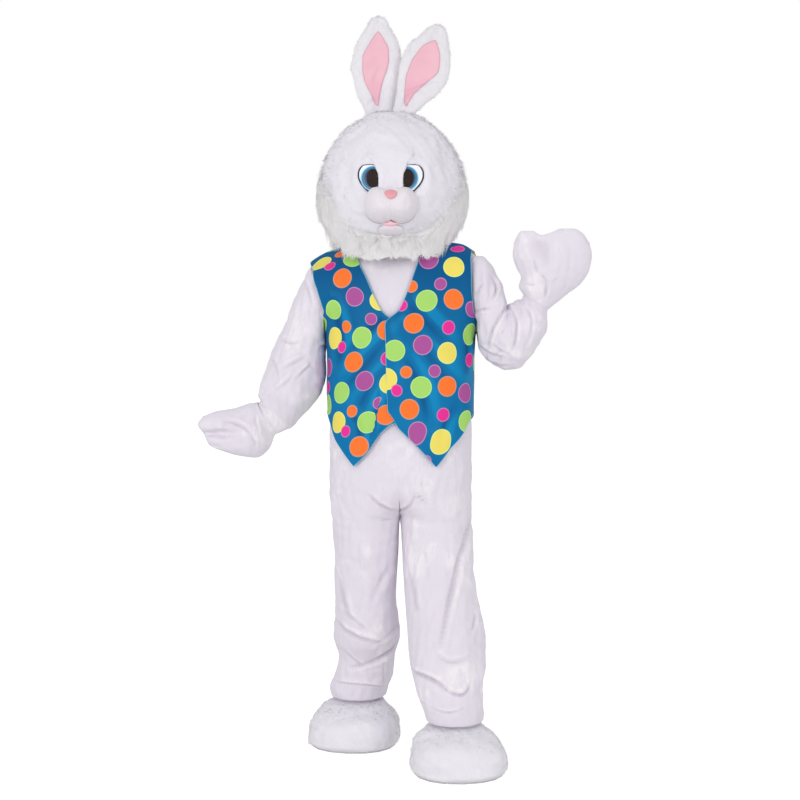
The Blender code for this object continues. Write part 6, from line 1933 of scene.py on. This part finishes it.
def makeRuff(side):
    f, turns = ruffFur, np.linspace(0.2, 179.8, 91)
    skin, coat = ruffFaces(side, turns, np.linspace(0, 1, 46))
    backing = skin + 0.3 * (coat - skin)
    made = shell(f"ruff.backing.{sideName[side]}", backing[:-3], skin[:-3] + 0.0006 * unit(
        coat - skin)[:-3], longFur, uv={"strand": np.zeros((43, 91, 2))})
    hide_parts(f"ruff_{sideName[side]}")
    # both faces again, with their rows even along the cloth
    run = lengthAlong(coat)
    total, even = run[-1], np.linspace(0, 1, 50)
    spaced = [np.stack([[np.interp(even, run[:, j] / total[j], face[:, j, axis])
                         for j in range(len(turns))] for axis in range(3)], axis=-1)
              for face in (skin, coat)]

    def on(turn, share, depth):
        # a place in the coat; past its foot it hangs on straight
        i = np.clip((turn - turns[0]) / (turns[1] - turns[0]), 0, len(turns) - 1.001)
        j = np.clip(share, 0, 1) * (len(even) - 1.001)
        i0, j0 = i.astype(int), j.astype(int)
        u, v = (i - i0)[:, None], (j - j0)[:, None]
        inside, outside = (within(face.swapaxes(0, 1), j0, i0, u, v) for face in spaced)
        foot = unit(spaced[1][i0, -1] - spaced[1][i0, -4])
        past = np.maximum(share - 1, 0) * total[i0]
        head = unit(spaced[0][i0, 0] - spaced[0][i0, 3])
        before = np.maximum(-share, 0) * total[i0]
        return (inside + depth[:, None] * (outside - inside) + past[:, None] * foot
                + before[:, None] * head)

    weight = total / total.sum()
    many = f["count"] + f["locks"]
    column = rng.choice(len(turns), size=many, p=weight)
    turn = np.clip(turns[column] + rng.uniform(-0.75, 0.75, many), 0.2, 179.8)
    late = f["lateLeft"] * (side == leftSide) * ramp(turn, 45, 70) * ramp(turn, 125, 105)
    first = late - f["above"] * (1 - ramp(turn, 50, 80))
    share = first + (0.96 - first) * rng.random(many) ** 1.1
    span = np.interp(turn, turns, total)
    loose = np.arange(many) >= f["locks"]
    here = np.column_stack([np.radians(turn) * 0.19, share * span])
    tree = kdtree.KDTree(f["locks"])
    for k in range(f["locks"]):
        tree.insert((*here[k], 0.0), k)
    tree.balance()
    lock = np.array([tree.find((a, b, 0.0))[1] for a, b in here])
    long = f["length"] * (0.45 + 0.55 * ramp(share * span, -0.01, 0.06))
    long = long * rng.uniform(0.8, 1.15, many)
    long[:f["locks"]] *= rng.uniform(0.75, 1.35, f["locks"])
    long = long * (0.35 + 0.65 * (long[lock] / long.mean()))
    sway = rng.normal(0, 6.0, many)
    stray = (rng.random(many) < 0.16) * ramp(turn, 40, 70)
    outness = rng.uniform(0.7, 1.12, many) + stray * rng.uniform(0.15, 0.55, many)
    tipShare = share + long / span
    fringe = rng.uniform(*f["fringe"], many)[lock] + rng.normal(0, 0.003, many)
    tipShare = np.minimum(tipShare, 1 + fringe / span)
    ends = on(turn + sway, tipShare, outness)
    roots = on(turn, share, 0.12 * ramp(share, -0.05, 0.1))
    bends = on(turn + 0.3 * sway, share + 0.4 * (tipShare - share),
               np.minimum(1.15, 0.55 + outness / 2))
    lockEnd = ends[lock] + rng.normal(0, 0.0022, ends.shape)
    own = f["gather"] * rng.uniform(0.6, 1.15, (many, 1))
    tips = ends + (lockEnd - ends) * np.clip(own, 0, 0.97)
    onSkin = np.maximum(share, 0.02)
    outWay = unit(on(turn, onSkin, np.ones(many)) - on(turn, onSkin, np.zeros(many)))
    widths = f["width"] * rng.uniform(0.7, 1.2, many)
    # whole locks lie darker than their neighbours, and single strands a little
    tone = rng.random(f["locks"])[lock] ** 2.2 * rng.uniform(0.3, 1.0, many) * f["shade"]
    strands = ribbons(f"ruff.fur.{sideName[side]}", roots[loose], bends[loose], tips[loose],
                      widths[loose], outWay[loose], longFur, tone=tone[loose])
    strands.visible_diffuse = False


for side in (rightSide, leftSide):
    makeRuff(side)
print("long fur")

# what stays of the frame, in its own looks
soleLook = plain("sole", (0.44, 0.43, 0.45), 0.9)
tapeLook = plain("zipTape", (0.8, 0.8, 0.82), 0.8)
for node, look in (("cover_right_sole", soleLook), ("cover_left_sole", soleLook),
                   ("suit_zip", tapeLook)):
    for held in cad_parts[node].material_slots:
        held.material = look

studio = {"world": 0.77, "backdrop": 1.0, "key": 64.0, "fill": 34.0, "floor": (0.6, 0.6, 0.6),
          "floorGlow": 0.66}
bpy.ops.mesh.primitive_plane_add(size=30, location=(0, 0, -floorToNeck))
floor = bpy.context.object
floor.name = "studioFloor"
floor.data.materials.append(plain("studioFloor", studio["floor"], 0.9, **{
    "Emission_Color": (1.0, 1.0, 1.0), "Emission_Strength": studio["floorGlow"]}))
floor.visible_diffuse = floor.visible_glossy = floor.visible_shadow = False
floor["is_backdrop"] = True
scene = bpy.context.scene
scene.world = bpy.data.worlds.new("studio")
scene.world.use_nodes = True
sky = scene.world.node_tree.nodes["Background"]
sky.inputs["Color"].default_value = (1.0, 1.0, 1.0, 1.0)
seen = scene.world.node_tree.nodes.new("ShaderNodeLightPath")
strength = scene.world.node_tree.nodes.new("ShaderNodeMapRange")
strength.inputs["To Min"].default_value = studio["world"]
strength.inputs["To Max"].default_value = studio["backdrop"]
scene.world.node_tree.links.new(seen.outputs["Is Camera Ray"], strength.inputs["Value"])
scene.world.node_tree.links.new(strength.outputs["Result"], sky.inputs["Strength"])
for name, place, aim, size, power in (
        ("keyLight", (-2.4, -4.2, 0.9), (0.0, 0.0, -0.6), 1.8, studio["key"]),
        ("fillLight", (2.4, -4.2, -0.4), (0.0, 0.0, -0.7), 2.2, studio["fill"])):
    lamp = bpy.data.lights.new(name, "AREA")
    lamp.size, lamp.energy = size, power
    made = bpy.data.objects.new(name, lamp)
    made.location = place
    made.rotation_euler = (Vector(aim) - Vector(place)).to_track_quat("-Z", "Y").to_euler()
    scene.collection.objects.link(made)
scene.view_settings.view_transform = "Standard"
eye = bpy.data.cameras.new("camera")
eye.lens, eye.sensor_width = 74.2, 36.0
camera = bpy.data.objects.new("camera", eye)
camera.location = (0.0, -4.7, -0.1)
camera.rotation_euler = (math.radians(90.0), 0.0, 0.0)
eye.shift_y = -0.1438
scene.collection.objects.link(camera)
scene.camera = camera

low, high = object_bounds()
